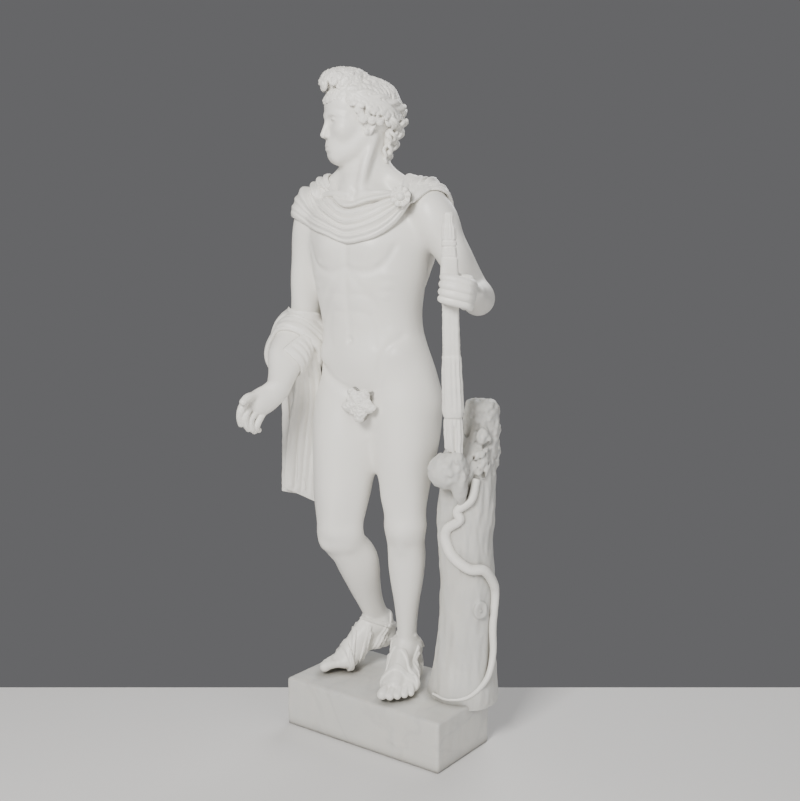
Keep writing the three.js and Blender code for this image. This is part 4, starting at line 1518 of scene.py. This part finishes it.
COLLAR = [
    (62, -60, 1474),
    (-6, -86, 1460),
    (-66, -102, 1446),
    (-118, -86, 1472),
    (-154, -50, 1514),
    (-158, -2, 1532),
    (-128, 44, 1526),
    (-76, 66, 1512),
]
FINE = (Ripple(34, 11), 0.5), (Ripple(9, 12), 0.18)


def tube_rings(places, radii, rows, columns, flat=1.0, lines=0, line_depth=0.0):
    """Rings of a tube that follows places, squeezed one way, with lines along it."""
    rows_of = smooth_rows([[*p, r] for p, r in zip(places, radii)], rows)
    middle, radius = rows_of[:, :3], rows_of[:, 3]
    ahead = np.gradient(middle, axis=0)
    ahead /= np.linalg.norm(ahead, axis=1, keepdims=True)
    side = unit(np.cross(ahead[0], UP if abs(ahead[0][2]) < 0.9 else v(1, 0, 0)))
    angle = np.linspace(0, 2 * math.pi, columns, endpoint=False)
    rings = []
    for i in range(rows):
        side = unit(side - ahead[i] * float(side @ ahead[i]))
        over = np.cross(ahead[i], side)
        reach = radius[i] - line_depth * np.cos(lines * angle)
        rings.append(
            middle[i]
            + np.outer(reach * np.cos(angle), side)
            + np.outer(reach * flat * np.sin(angle), over)
        )
    return np.array(rings)


# Snake

SNAKE_WAY = [
    (744, 14, 72),
    (691, 4, 76),
    (659, -22, 77),
    (634, -18, 77),
    (606, -44, 77),
    (574, -48, 77),
    (534, -31, 77),
    (504, 0, 77),
    (496, 31, 76),
    (455, 58, 76),
    (414, 68, 76),
    (335, 58, 77),
    (263, 52, 84),
    (213, 36, 92),
    (182, 18, 96),
    (158, -4, 100),
    (150, -32, 104),
    (152, -58, 106),
]
TRUNK_MIDDLE = v(196, 71, 0)


def snake_rings():
    places = []
    for up, turn, radius in SNAKE_WAY:
        place = TRUNK_MIDDLE + heading(CAMERA_SIDE + turn) * (radius + 3)
        places.append(v(place[0], place[1], up))
    count = len(places)
    share = np.arange(count) / (count - 1)
    radii = np.interp(share, (0, 0.1, 0.3, 0.55, 0.68, 0.8, 1), (12, 12, 14.5, 14, 10, 7.5, 3))
    rings = tube_rings(places, radii, 640, 36, 0.92)
    rows = np.arange(640)[:, None]
    angle = np.linspace(0, 2 * math.pi, 36, endpoint=False)[None]
    scale = np.abs(np.sin(rows * 0.5 + angle * 6)) * np.abs(np.sin(rows * 0.5 - angle * 6))
    middle = rings.mean(axis=1, keepdims=True)
    way = rings - middle
    way /= np.linalg.norm(way, axis=2, keepdims=True)
    fade = np.minimum(1, np.minimum(rows, 639 - rows) / 40)
    return rings + way * (0.55 * scale * fade)[..., None]


# Bow

BOW_FOOT, BOW_TOP = v(222, -34, 806), v(258, -120, 1424)
BOW_ACROSS, BOW_NEARER = v(0.8, 0.6, 0), v(0.6, -0.8, 0)
# Stations: share of the way up, half width, half depth, how square, how deep its flutes are.
BOW = [
    (0.0, 18, 12, 3, 2.6),
    (0.02, 23, 15, 3, 3.2),
    (0.1, 25, 17, 3, 3.4),
    (0.16, 24, 17, 3, 2.6),
    (0.168, 22, 16, 3, 0.8),
    (0.176, 25, 21, 3, 0.4),
    (0.2, 28, 24, 3, 1.4),
    (0.3, 27, 24, 3, 2.6),
    (0.4, 25, 20, 3, 2.2),
    (0.424, 24, 18, 3, 0.6),
    (0.432, 22, 16, 4, 0.6),
    (0.6, 21, 15, 4, 0.5),
    (0.72, 21, 15, 4, 0.3),
    (0.726, 19, 14, 4, 0.0),
    (0.733, 22, 17, 4, 0.0),
    (0.82, 21, 17, 4, 0.0),
    (0.826, 18, 14, 4, 0.0),
    (0.832, 20, 16, 3, 0.6),
    (0.862, 19, 15, 3, 0.6),
    (0.866, 16, 13, 3, 0.0),
    (0.872, 19, 15, 3, 0.0),
    (0.885, 19, 15, 3, 0.0),
    (0.89, 16, 13, 3, 0.0),
    (0.898, 19, 15, 2.6, 1.2),
    (0.94, 18, 14, 2.4, 1.2),
    (0.955, 14, 12, 2.2, 1.0),
    (0.99, 12, 10, 2.0, 0.8),
    (1.0, 7, 6, 2.0, 0.0),
]


def bow_rings():
    table = np.array(BOW)
    share = np.concatenate([np.linspace(0, 1, 250), table[:, 0], table[:, 0] + 0.0012])
    share = np.unique(np.clip(share, 0, 1))
    columns = 72
    angle = np.linspace(0, 2 * math.pi, columns, endpoint=False)
    row = [np.interp(share, table[:, 0], table[:, i])[:, None] for i in range(1, 5)]
    c, s = np.cos(angle)[None], np.sin(angle)[None]
    size = (np.abs(c) ** row[2] + np.abs(s) ** row[2]) ** (-1 / row[2])
    flute = row[3] * (0.5 - 0.5 * np.cos(angle * 14)[None])
    a, b = (row[0] - flute) * size * c, (row[1] - flute) * size * s
    slit = 9 * np.exp(-(((c - 0.15) / 0.09) ** 2)) * (s > 0) * (share < 0.15)[:, None]
    b = b - slit * smoothstep((0.15 - share) / 0.03)[:, None]
    middle = BOW_FOOT + share[:, None] * (BOW_TOP - BOW_FOOT)
    rings = middle[:, None] + a[..., None] * BOW_ACROSS + b[..., None] * BOW_NEARER
    shorter = 16 * smoothstep((-c - 0.1) / 0.3) * smoothstep((0.06 - share) / 0.06)[:, None]
    rings = rings + shorter[..., None] * UP
    chip = Ripple(17, 31, 9)
    flat = rings.reshape(-1, 3)
    rough = np.maximum(chip(flat).reshape(rings.shape[:2]) - 0.2, 0)
    left_edge = smoothstep((-c - 0.75) / 0.2) * ((share > 0.43) & (share < 0.72))[:, None]
    rings = rings + (rough * left_edge * 4.5)[..., None] * BOW_ACROSS
    return roughen_rings(rings, ((Ripple(40, 32), 0.6), (Ripple(8, 33), 0.2)))


# Tree trunk

TRUNK = [
    (850, 36, 8),
    (826, 52, 8),
    (800, 66, 4),
    (770, 73, 1),
    (700, 75, 0),
    (600, 76, 0),
    (500, 76, 0),
    (400, 74, 0),
    (300, 76, -2),
    (240, 81, -3),
    (190, 89, -5),
    (150, 95, -7),
    (110, 97, -8),
]
STUB = [
    (940, 26, 22, 26),
    (936, 38, 36, 38),
    (915, 44, 47, 45),
    (880, 46, 49, 50),
    (830, 50, 48, 52),
    (760, 52, 50, 52),
]
KNOTS = [
    (26, 388, 24, 9),
    (-28, 172, 40, 18),
    (18, 168, 44, 14),
    (60, 560, 60, -8),
    (-50, 420, 70, -6),
    (150, 300, 60, 10),
    (-120, 600, 60, 8),
]


def on_trunk(turn, up, out=0.0):
    heights = [row[0] for row in reversed(TRUNK)]
    radius = np.interp(up, heights, [row[1] for row in reversed(TRUNK)])
    place = TRUNK_MIDDLE + heading(CAMERA_SIDE + turn) * (radius + out)
    return v(place[0], place[1], up)


def knot(clay, at, turn, size):
    """A healed knot in the bark: a raised ring round a hollow with a small heart."""
    axes = Axes(at, heading(CAMERA_SIDE + turn))
    circle = [
        axes(size * 0.72 * math.sin(a), 1, size * 0.86 * math.cos(a))
        for a in np.linspace(0, 2 * math.pi, 17)
    ]
    clay.add(Ball(axes, (size * 0.9, size * 0.3, size)), 6)
    clay.groove(circle, size * 0.15, -size * 0.16, 24)
    clay.swell(Axes(axes(0, size * 0.2, 0), axes.ahead), (size * 0.5,) * 3, -size * 0.22)
    clay.add(Ball(Axes(axes(0, size * 0.12, 0), axes.ahead), (size * 0.2, size * 0.2, size * 0.3)), 3)


def trunk_clay():
    look = bpy.context.scene.statue_look
    dice = random.Random(look.bark_seed)
    clay = Clay()
    front = heading(CAMERA_SIDE)
    axes = Axes(TRUNK_MIDDLE, front)
    levels = [(up, shift, 0, r, r, r, min(r, 80)) for up, r, shift in TRUNK]
    clay.add(Loft(axes, levels), 0)
    stub = Axes(v(214, 106, 0), front)
    levels = [(up, 0, 0, left, right, deep, deep - 8) for up, right, left, deep in STUB]
    clay.add(Loft(stub, levels), 10)
    for turn, up, spread, amount in KNOTS:
        clay.swell(Axes(on_trunk(turn, up), front), (spread, spread, spread), amount)
    clay.add(Rope([v(212, 30, 762), v(206, -26, 768), v(202, -44, 768)], (36, 46, 45)), 16)
    clay.add(Ball(Axes(v(244, 66, 850), front), (22, 24, 22)), 10)
    hanging = [v(224, -34, 800), v(232, -30, 750), v(230, -16, 706), v(226, -2, 676)]
    clay.add(Rope(hanging, (26, 25, 17, 8)), 9)
    for turn, up, size in ((24, 796, 19), (36, 776, 17), (18, 768, 14), (38, 806, 14), (28, 752, 11)):
        knot(clay, on_trunk(turn, up, 3), turn, size)
    knot(clay, on_trunk(26, 388, 2), 26, 25)
    knot(clay, v(252, 52, 850), 20, 20)
    for k in range(30):
        turn = 360 * k / 30 + dice.uniform(-5, 5)
        top, low = dice.uniform(480, 820), dice.uniform(150, 420)
        sway = dice.uniform(2, 6)
        places = []
        for i in range(6):
            up = top + (low - top) * i / 5
            places.append(on_trunk(turn + sway * math.sin(i * 1.7 + k), up))
        clay.groove(places, dice.uniform(4.0, 9.0), dice.uniform(1.0, 2.8), 14)
    for k in range(60):
        turn, up = dice.uniform(0, 360), dice.uniform(170, 780)
        long = dice.uniform(20, 60)
        ends = [on_trunk(turn, up), on_trunk(turn + dice.uniform(-8, 8), up + long)]
        clay.groove([*ends], dice.uniform(3, 6), dice.uniform(-2.0, 2.0), 3)
    clay.roughen(Ripple(20, 43, 9), 2.4, v(130, -90, 740), v(330, 200, 960))
    low, high = v(80, -110, 120), v(340, 220, 960)
    clay.roughen(Ripple(30, 41, 9, (1, 1, 0.35)), 1.2, low, high)
    clay.roughen(Ripple(9, 42, 9, (1, 1, 0.35)), 0.5, low, high)
    return clay


# Plinth


def plinth_clay():
    clay = Clay()
    clay.add(Block(Axes(v(0, 0, 68), heading(0)), (258, 152.5, 68), 4.5), 0)
    corner = Axes(v(258, 152.5, 68), heading(180 - 45))
    clay.cut(Block(corner, (90, 44, 80), 8), 10)
    clay.roughen(Ripple(60, 51), 0.5, v(-270, -170, 30), v(270, 170, 150))
    clay.roughen(Ripple(7, 52, 11), 0.35, v(-270, -170, 12), v(270, 170, 150))
    dice = random.Random(5)
    for _ in range(16):
        at = v(dice.uniform(-250, 250), -152.5, 136)
        size = dice.uniform(2, 5)
        clay.cut(Ball(Axes(at, heading(0)), (size * 1.8, size * 0.6, size * 0.6)), 3)
    return clay


# Leaf and brooch


def polar_piece(name, axes, edge, height, depth, material, rings=40, columns=180):
    """A carved ornament: a raised disc whose edge and height change with the turn."""
    angle = np.linspace(0, 2 * math.pi, columns, endpoint=False)
    share = np.linspace(0, 1, rings)
    reach = edge(angle)
    layers = []
    for s in share[::-1]:
        layers.append((s * reach, -depth + 0 * angle))
    for s in share:
        layers.append((s * reach, height(s, angle)))
    places = []
    for r, h in layers:
        left, up = r * np.sin(angle), r * np.cos(angle)
        places.append(
            axes.at
            + np.outer(left, axes.left)
            + np.outer(up, axes.up)
            + np.outer(h, axes.ahead)
        )
    rows = np.array(places[::-1])
    rows[0] = rows[0].mean(axis=0) + (rows[1] - rows[1].mean(axis=0)) * 0.2
    rows[-1] = rows[-1].mean(axis=0) + (rows[-2] - rows[-2].mean(axis=0)) * 0.2
    return ring_piece(name, rows, material)


# Settings that a user can change


def color_setting(name, description, default):
    return bpy.props.FloatVectorProperty(
        name=name, description=description, default=default, subtype="COLOR", size=3, min=0, max=1
    )


def length_setting(name, description, default, low, high):
    return bpy.props.FloatProperty(
        name=name, description=description, default=default, min=low, max=high, unit="LENGTH"
    )


class StatueLook(bpy.types.PropertyGroup):
    """The marble and the carving."""

    pale: color_setting("Clean marble", "Colour of the marble's high places", (0.83, 0.82, 0.79))
    aged: color_setting("Aged marble", "Colour of its weathered patches", (0.66, 0.645, 0.6))
    # Painted shade: the dark colour that ambient occlusion mixes into the recesses.
    painted_shade_color: color_setting("Painted_shade", "Colour of the dirt in its recesses", (0.13, 0.12, 0.1))
    weathered: color_setting("Plinth and trunk", "Colour of the greyer parts", (0.62, 0.615, 0.585))
    patina: bpy.props.FloatProperty(
        name="Patina", description="How strongly the patches show", default=0.5, min=0, max=1
    )
    roughness: bpy.props.FloatProperty(
        name="Roughness", description="How dull the marble is", default=0.5, min=0.1, max=1
    )
    lock_seed: bpy.props.IntProperty(
        name="Locks", description="Changes how the locks of hair fall", default=4, min=0
    )
    bark_seed: bpy.props.IntProperty(
        name="Bark", description="Changes the furrows in the bark", default=3, min=0
    )
    petals: bpy.props.IntProperty(
        name="Petals", description="Petals round the brooch", default=9, min=5, max=16
    )
    fineness: bpy.props.FloatProperty(
        name="Fineness",
        description="Size of the finest carving, as a share of the usual size",
        default=1.0,
        min=0.8,
        max=4,
    )


class StatueStage(bpy.types.PropertyGroup):
    """The floor, the light and the camera."""

    floor_width: length_setting("Floor width", "Width of the pale floor", 7.0, 1.0, 30.0)
    floor_behind: length_setting("Floor behind", "How far the floor goes on behind", 0.285, 0.2, 9.0)
    floor_before: length_setting("Floor in front", "How far the floor comes forward", 5.0, 1.0, 30)
    floor_color: color_setting("Floor", "Colour of the floor", (0.75, 0.74, 0.73))
    back_color: color_setting("Backdrop", "Colour behind the statue", (0.135, 0.135, 0.14))
    key_power: bpy.props.FloatProperty(
        name="Key light", description="Strength of the main light", default=260, min=0, unit="POWER"
    )
    fill_power: bpy.props.FloatProperty(
        name="Fill light", description="Strength of the soft light", default=60, min=0, unit="POWER"
    )
    lens: bpy.props.FloatProperty(
        name="Lens", description="Focal length of the camera", default=50.06, min=10, unit="CAMERA"
    )


def fineness():
    return bpy.context.scene.statue_look.fineness


# Pieces, one operator for each group


class STATUE_OT_plinth(bpy.types.Operator):
    """Carve the plinth with its worn edges"""

    bl_idname = "statue.plinth"
    bl_label = "Plinth"

    def execute(self, context):
        step = 6.5 * fineness()
        carve("plinth", plinth_clay(), (-270, -166, -12), (270, 166, 150), step, weathered_marble())
        return {"FINISHED"}


class STATUE_OT_body(bpy.types.Operator):
    """Carve the trunk of the body, the arms and the legs"""

    bl_idname = "statue.body"
    bl_label = "Body"

    def execute(self, context):
        form = Part(figure_clay(), without=SEAMS)
        carve("body", form, (-330, -330, 180), (330, 170, 1560), 5.3 * fineness(), body_marble())
        return {"FINISHED"}


class STATUE_OT_head(bpy.types.Operator):
    """Carve the face, the ears and the throat"""

    bl_idname = "statue.head"
    bl_label = "Head"

    def execute(self, context):
        form = Part(figure_clay(), within=NECK_SEAM)
        carve("head", form, (-190, -150, 1510), (30, 90, 1790), 2.4 * fineness(), body_marble())
        return {"FINISHED"}


class STATUE_OT_hair(bpy.types.Operator):
    """Carve the locks, the twisted band, the curls and the ringlets"""

    bl_idname = "statue.hair"
    bl_label = "Hair"

    def execute(self, context):
        low, high = (-220, -180, 1520), (60, 120, 1810)
        carve("hair", hair_clay(), low, high, 2.6 * fineness(), body_marble())
        return {"FINISHED"}


class STATUE_OT_hands(bpy.types.Operator):
    """Carve the fist on the bow and the lowered hand"""

    bl_idname = "statue.hands"
    bl_label = "Hands"

    def execute(self, context):
        clay = figure_clay()
        for name, seam in (("left_hand", HAND_L_SEAM), ("right_hand", HAND_R_SEAM)):
            form = Part(clay, within=seam)
            low, high = seam.low - 2 * LAP, seam.high + 2 * LAP
            carve(name, form, low, high, 1.7 * fineness(), body_marble())
        return {"FINISHED"}


class STATUE_OT_feet(bpy.types.Operator):
    """Carve the feet, their sandals and the soles"""

    bl_idname = "statue.feet"
    bl_label = "Feet"

    def execute(self, context):
        clay = figure_clay()
        for name, seam in (("left_foot", FOOT_L_SEAM), ("right_foot", FOOT_R_SEAM)):
            form = Part(clay, within=seam)
            low, high = seam.low - 2 * LAP, seam.high + 2 * LAP
            carve(name, form, low, high, 2.5 * fineness(), body_marble())
        return {"FINISHED"}


class STATUE_OT_cloak(bpy.types.Operator):
    """Carve the cloak: round the neck, down the back, over the arm and hanging behind it"""

    bl_idname = "statue.cloak"
    bl_label = "Cloak"

    def execute(self, context):
        material, body = body_marble(), figure_clay()
        mantle = [(v(*a), v(*b)) for a, b in MANTLE]
        folds = [
            (0.06, 0.05, 0.06, 0.05, 7),
            (0.24, 0.2, 0.22, 0.06, 13),
            (0.33, 0.31, 0.3, 0.03, 4),
            (0.45, 0.41, 0.42, 0.065, 14),
            (0.55, 0.52, 0.5, 0.03, 4),
            (0.64, 0.64, 0.62, 0.06, 14),
            (0.74, 0.75, 0.72, 0.03, 5),
            (0.82, 0.86, 0.8, 0.05, 11),
            (0.95, 0.97, 0.95, 0.045, 8),
        ]
        rings = drape(mantle, folds, 14, 6, 1, (260, 76), 2, body, 6)
        ring_piece("mantle", roughen_rings(rings, FINE), material)
        shoulder = [(v(*a), v(*b)) for a, b in SHOULDER_CLOTH]
        folds = [(0.1 + 0.26 * k, 0.08 + 0.27 * k, 0.1 + 0.26 * k, 0.08, 9) for k in range(4)]
        rings = drape(shoulder, folds, 14, 8, 1, (90, 60), 6, body, 8)
        ring_piece("shoulder_cloth", roughen_rings(rings, FINE), material)
        back = [(v(*a), v(*b)) for a, b in BACK_CLOTH]
        folds = [(0.08 + 0.14 * k, 0.1 + 0.135 * k, 0.1 + 0.13 * k, 0.05, 13) for k in range(7)]
        rings = drape(back, folds, 24, 4, -1, (140, 72), 3, body, 5)
        ring_piece("back_cloth", roughen_rings(rings, FINE), material)
        hanging = [(v(*a), v(*b)) for a, b in HANGING_CLOTH]
        folds = [(0.06 + 0.16 * k, 0.1 + 0.155 * k, 0.08 + 0.165 * k, 0.06, 15) for k in range(6)]
        rings = drape(hanging, folds, 22, 4, -1, (150, 72), 4)
        ring_piece("hanging_cloth", roughen_rings(rings, FINE), material)
        fall = [(v(*a), v(*b)) for a, b in FALL]
        folds = [
            (0.05, 0.1, 0.08, 0.07, 10),
            (0.2, 0.34, 0.3, 0.08, 14),
            (0.4, 0.55, 0.52, 0.06, 10),
            (0.6, 0.75, 0.74, 0.08, 14),
            (0.85, 0.94, 0.92, 0.06, 9),
        ]
        rings = drape(fall, folds, 18, 6, -1, (140, 68), 7, body, 4)
        ring_piece("falling_cloth", roughen_rings(rings, FINE), material)
        forearm = unit(JOINTS["elbow_r"] - JOINTS["wrist_r"])
        wrap = [(v(*m) + forearm * r, v(*m) - forearm * r) for m, r in zip(WRAP, WRAP_REACH)]
        folds = [
            (0.06, 0.06, 0.06, 0.06, 9),
            (0.3, 0.28, 0.34, 0.09, 12),
            (0.48, 0.5, 0.5, 0.04, 5),
            (0.66, 0.68, 0.66, 0.09, 12),
            (0.93, 0.93, 0.93, 0.06, 10),
        ]
        rings = drape(wrap, folds, 20, 4, -1, (140, 68), 5, body, 5)
        ring_piece("wrap", roughen_rings(rings, FINE), material)
        radii = (8, 12, 13, 13, 12, 11, 11, 9)
        collar = tube_rings([v(*p) for p in COLLAR], radii, 200, 36, 0.8, 3, 1.6)
        ring_piece("collar", roughen_rings(collar, FINE), material)
        return {"FINISHED"}


class STATUE_OT_ornaments(bpy.types.Operator):
    """Carve the brooch and the fig leaf"""

    bl_idname = "statue.ornaments"
    bl_label = "Brooch and leaf"

    def execute(self, context):
        petals = context.scene.statue_look.petals
        front = unit(v(0.5, -0.84, 0.22))
        axes = Axes(BROOCH + front * 16, front)

        def brooch_height(s, angle):
            ring = 4.5 * np.exp(-(((s - 0.52) / 0.07) ** 2))
            dome = 13 * np.sqrt(np.clip(1 - (s / 0.46) ** 2, 0, 1))
            petal = 7 * np.sqrt(np.clip(1 - ((s - 0.78) / 0.24) ** 2, 0, 1))
            return 3 + ring + dome + petal * np.abs(np.cos(angle * petals / 2)) ** 0.7

        edge = lambda angle: 24 + 3.5 * np.abs(np.cos(angle * petals / 2)) ** 0.5
        polar_piece("brooch", axes, edge, brooch_height, 16, body_marble(), 36, 130)
        leaf_axes = Axes(v(-22, -116, 932), heading(16))

        def leaf_edge(angle):
            lobe = 0.86 + 0.14 * np.cos((angle - math.pi) * 5 + 0.5 * np.sin(angle))
            small = 1 + 0.035 * np.sin(angle * 15 + 1) + 0.02 * np.sin(angle * 31)
            return 50 * lobe * small

        def leaf_height(s, angle):
            away = np.abs((np.degrees(angle - math.pi) * 5 / 360 + 0.5) % 1 - 0.5) * 2
            vein = 2.6 * np.exp(-((away * s * 7) ** 2)) * (1 - 0.5 * s)
            side = 0.9 * np.sin(s * 26 - away * 7) * np.minimum(s * 3, 1)
            ruffle = 4.5 * smoothstep((s - 0.6) / 0.4) * np.sin(angle * 10 + 0.8)
            top = 5 * smoothstep((s - 0.72) / 0.28) * smoothstep((np.cos(angle) - 0.3) / 0.4)
            return 13 * np.sqrt(np.clip(1 - s**3, 0, 1)) + vein + side + ruffle + top

        polar_piece("fig_leaf", leaf_axes, leaf_edge, leaf_height, 20, body_marble(), 42, 180)
        return {"FINISHED"}


class STATUE_OT_trunk(bpy.types.Operator):
    """Carve the tree trunk with its bark, its knots and its broken top"""

    bl_idname = "statue.trunk"
    bl_label = "Tree trunk"

    def execute(self, context):
        low, high = (70, -120, 118), (345, 220, 975)
        carve("trunk", trunk_clay(), low, high, 4.6 * fineness(), weathered_marble())
        return {"FINISHED"}


class STATUE_OT_snake(bpy.types.Operator):
    """Carve the snake with its scales"""

    bl_idname = "statue.snake"
    bl_label = "Snake"

    def execute(self, context):
        ring_piece("snake", snake_rings(), body_marble())
        return {"FINISHED"}


class STATUE_OT_bow(bpy.types.Operator):
    """Carve the bow with its bands, flutes and chipped edge"""

    bl_idname = "statue.bow"
    bl_label = "Bow"

    def execute(self, context):
        ring_piece("bow", bow_rings(), body_marble())
        return {"FINISHED"}


def place_lamp(name, kind, at, aim, power, size, color=(1, 1, 1)):
    lamp = bpy.data.lights.new(name, kind)
    lamp.energy, lamp.color = power, color
    lamp.size = size
    holder = bpy.data.objects.new(name, lamp)
    holder.location = at
    way = Vector(aim) - Vector(at)
    holder.rotation_euler = way.to_track_quat("-Z", "Y").to_euler()
    bpy.context.scene.collection.objects.link(holder)
    return holder


class STATUE_OT_stage(bpy.types.Operator):
    """Lay the floor, place the lights and set the camera at the photo's angle"""

    bl_idname = "statue.stage"
    bl_label = "Stage"

    def execute(self, context):
        stage = context.scene.statue_stage
        turn = math.radians(CAMERA_SIDE)
        right = Vector((math.cos(turn), math.sin(turn), 0))
        back = Vector((-math.sin(turn), math.cos(turn), 0))
        half, behind, before = stage.floor_width / 2, stage.floor_behind, stage.floor_before
        mesh = bpy.data.meshes.new("floor")
        corners = [(-half, -before), (half, -before), (half, behind), (-half, behind)]
        top = [right * a + back * b for a, b in corners]
        low = [p - Vector((0, 0, 0.03)) for p in top]
        faces = [(0, 1, 2, 3), (7, 6, 5, 4)]
        faces += [(i, i + 4, (i + 1) % 4 + 4, (i + 1) % 4) for i in range(4)]
        mesh.from_pydata([tuple(p) for p in (*top, *low)], [], faces)
        pale = bpy.data.materials.new("pale_floor")
        pale.use_nodes = True
        shader = pale.node_tree.nodes["Principled BSDF"]
        shader.inputs["Base Color"].default_value = (*stage.floor_color, 1)
        shader.inputs["Roughness"].default_value = 0.7
        mesh.materials.append(pale)
        floor = bpy.data.objects.new("floor", mesh)
        context.scene.collection.objects.link(floor)
        world = bpy.data.worlds.new("soft_sky")
        world.use_nodes = True
        sky = world.node_tree.nodes["Background"]
        sky.inputs["Color"].default_value = (*stage.back_color, 1)
        context.scene.world = world
        place = lambda a, b, up: right * a + back * b + Vector((0, 0, up))
        aim = Vector((0, 0, 1.0))
        place_lamp("key", "AREA", place(-1.6, -3.6, 3.2), aim, stage.key_power, 1.4, (1, 0.985, 0.96))
        place_lamp("fill", "AREA", place(3.2, -3.2, 1.8), aim, stage.fill_power, 3.0)
        place_lamp("rim", "AREA", place(1.5, 3.2, 3.4), aim, stage.fill_power * 1.6, 2.5)
        camera = bpy.data.cameras.new("camera")
        camera.lens, camera.sensor_width = stage.lens, 36
        holder = bpy.data.objects.new("camera", camera)
        holder.location = (1.7826, -2.3672, 1.362)
        holder.rotation_euler = (math.radians(90 - 8.3), 0, turn)
        context.scene.collection.objects.link(holder)
        context.scene.camera = holder
        return {"FINISHED"}


class STATUE_PT_panel(bpy.types.Panel):
    """Sidebar panel with the statue's settings and its pieces"""

    bl_label = "Statue"
    bl_idname = "STATUE_PT_panel"
    bl_space_type = "VIEW_3D"
    bl_region_type = "UI"
    bl_category = "Statue"

    def draw(self, context):
        for group in (context.scene.statue_look, context.scene.statue_stage):
            box = self.layout.box()
            for name in group.__annotations__:
                box.prop(group, name)
        for piece in PIECES:
            self.layout.operator(piece.bl_idname)


PIECES = (
    STATUE_OT_plinth,
    STATUE_OT_body,
    STATUE_OT_head,
    STATUE_OT_hair,
    STATUE_OT_hands,
    STATUE_OT_feet,
    STATUE_OT_cloak,
    STATUE_OT_ornaments,
    STATUE_OT_trunk,
    STATUE_OT_snake,
    STATUE_OT_bow,
    STATUE_OT_stage,
)
CLASSES = (StatueLook, StatueStage, *PIECES, STATUE_PT_panel)


def register():
    for kind in CLASSES:
        bpy.utils.register_class(kind)
    bpy.types.Scene.statue_look = bpy.props.PointerProperty(type=StatueLook)
    bpy.types.Scene.statue_stage = bpy.props.PointerProperty(type=StatueStage)


def unregister():
    del bpy.types.Scene.statue_look
    del bpy.types.Scene.statue_stage
    for kind in reversed(CLASSES):
        bpy.utils.unregister_class(kind)


def main():
    register()
    for piece in PIECES:
        group, action = piece.bl_idname.split(".")
        getattr(getattr(bpy.ops, group), action)()


if __name__ == "__main__":
    main()
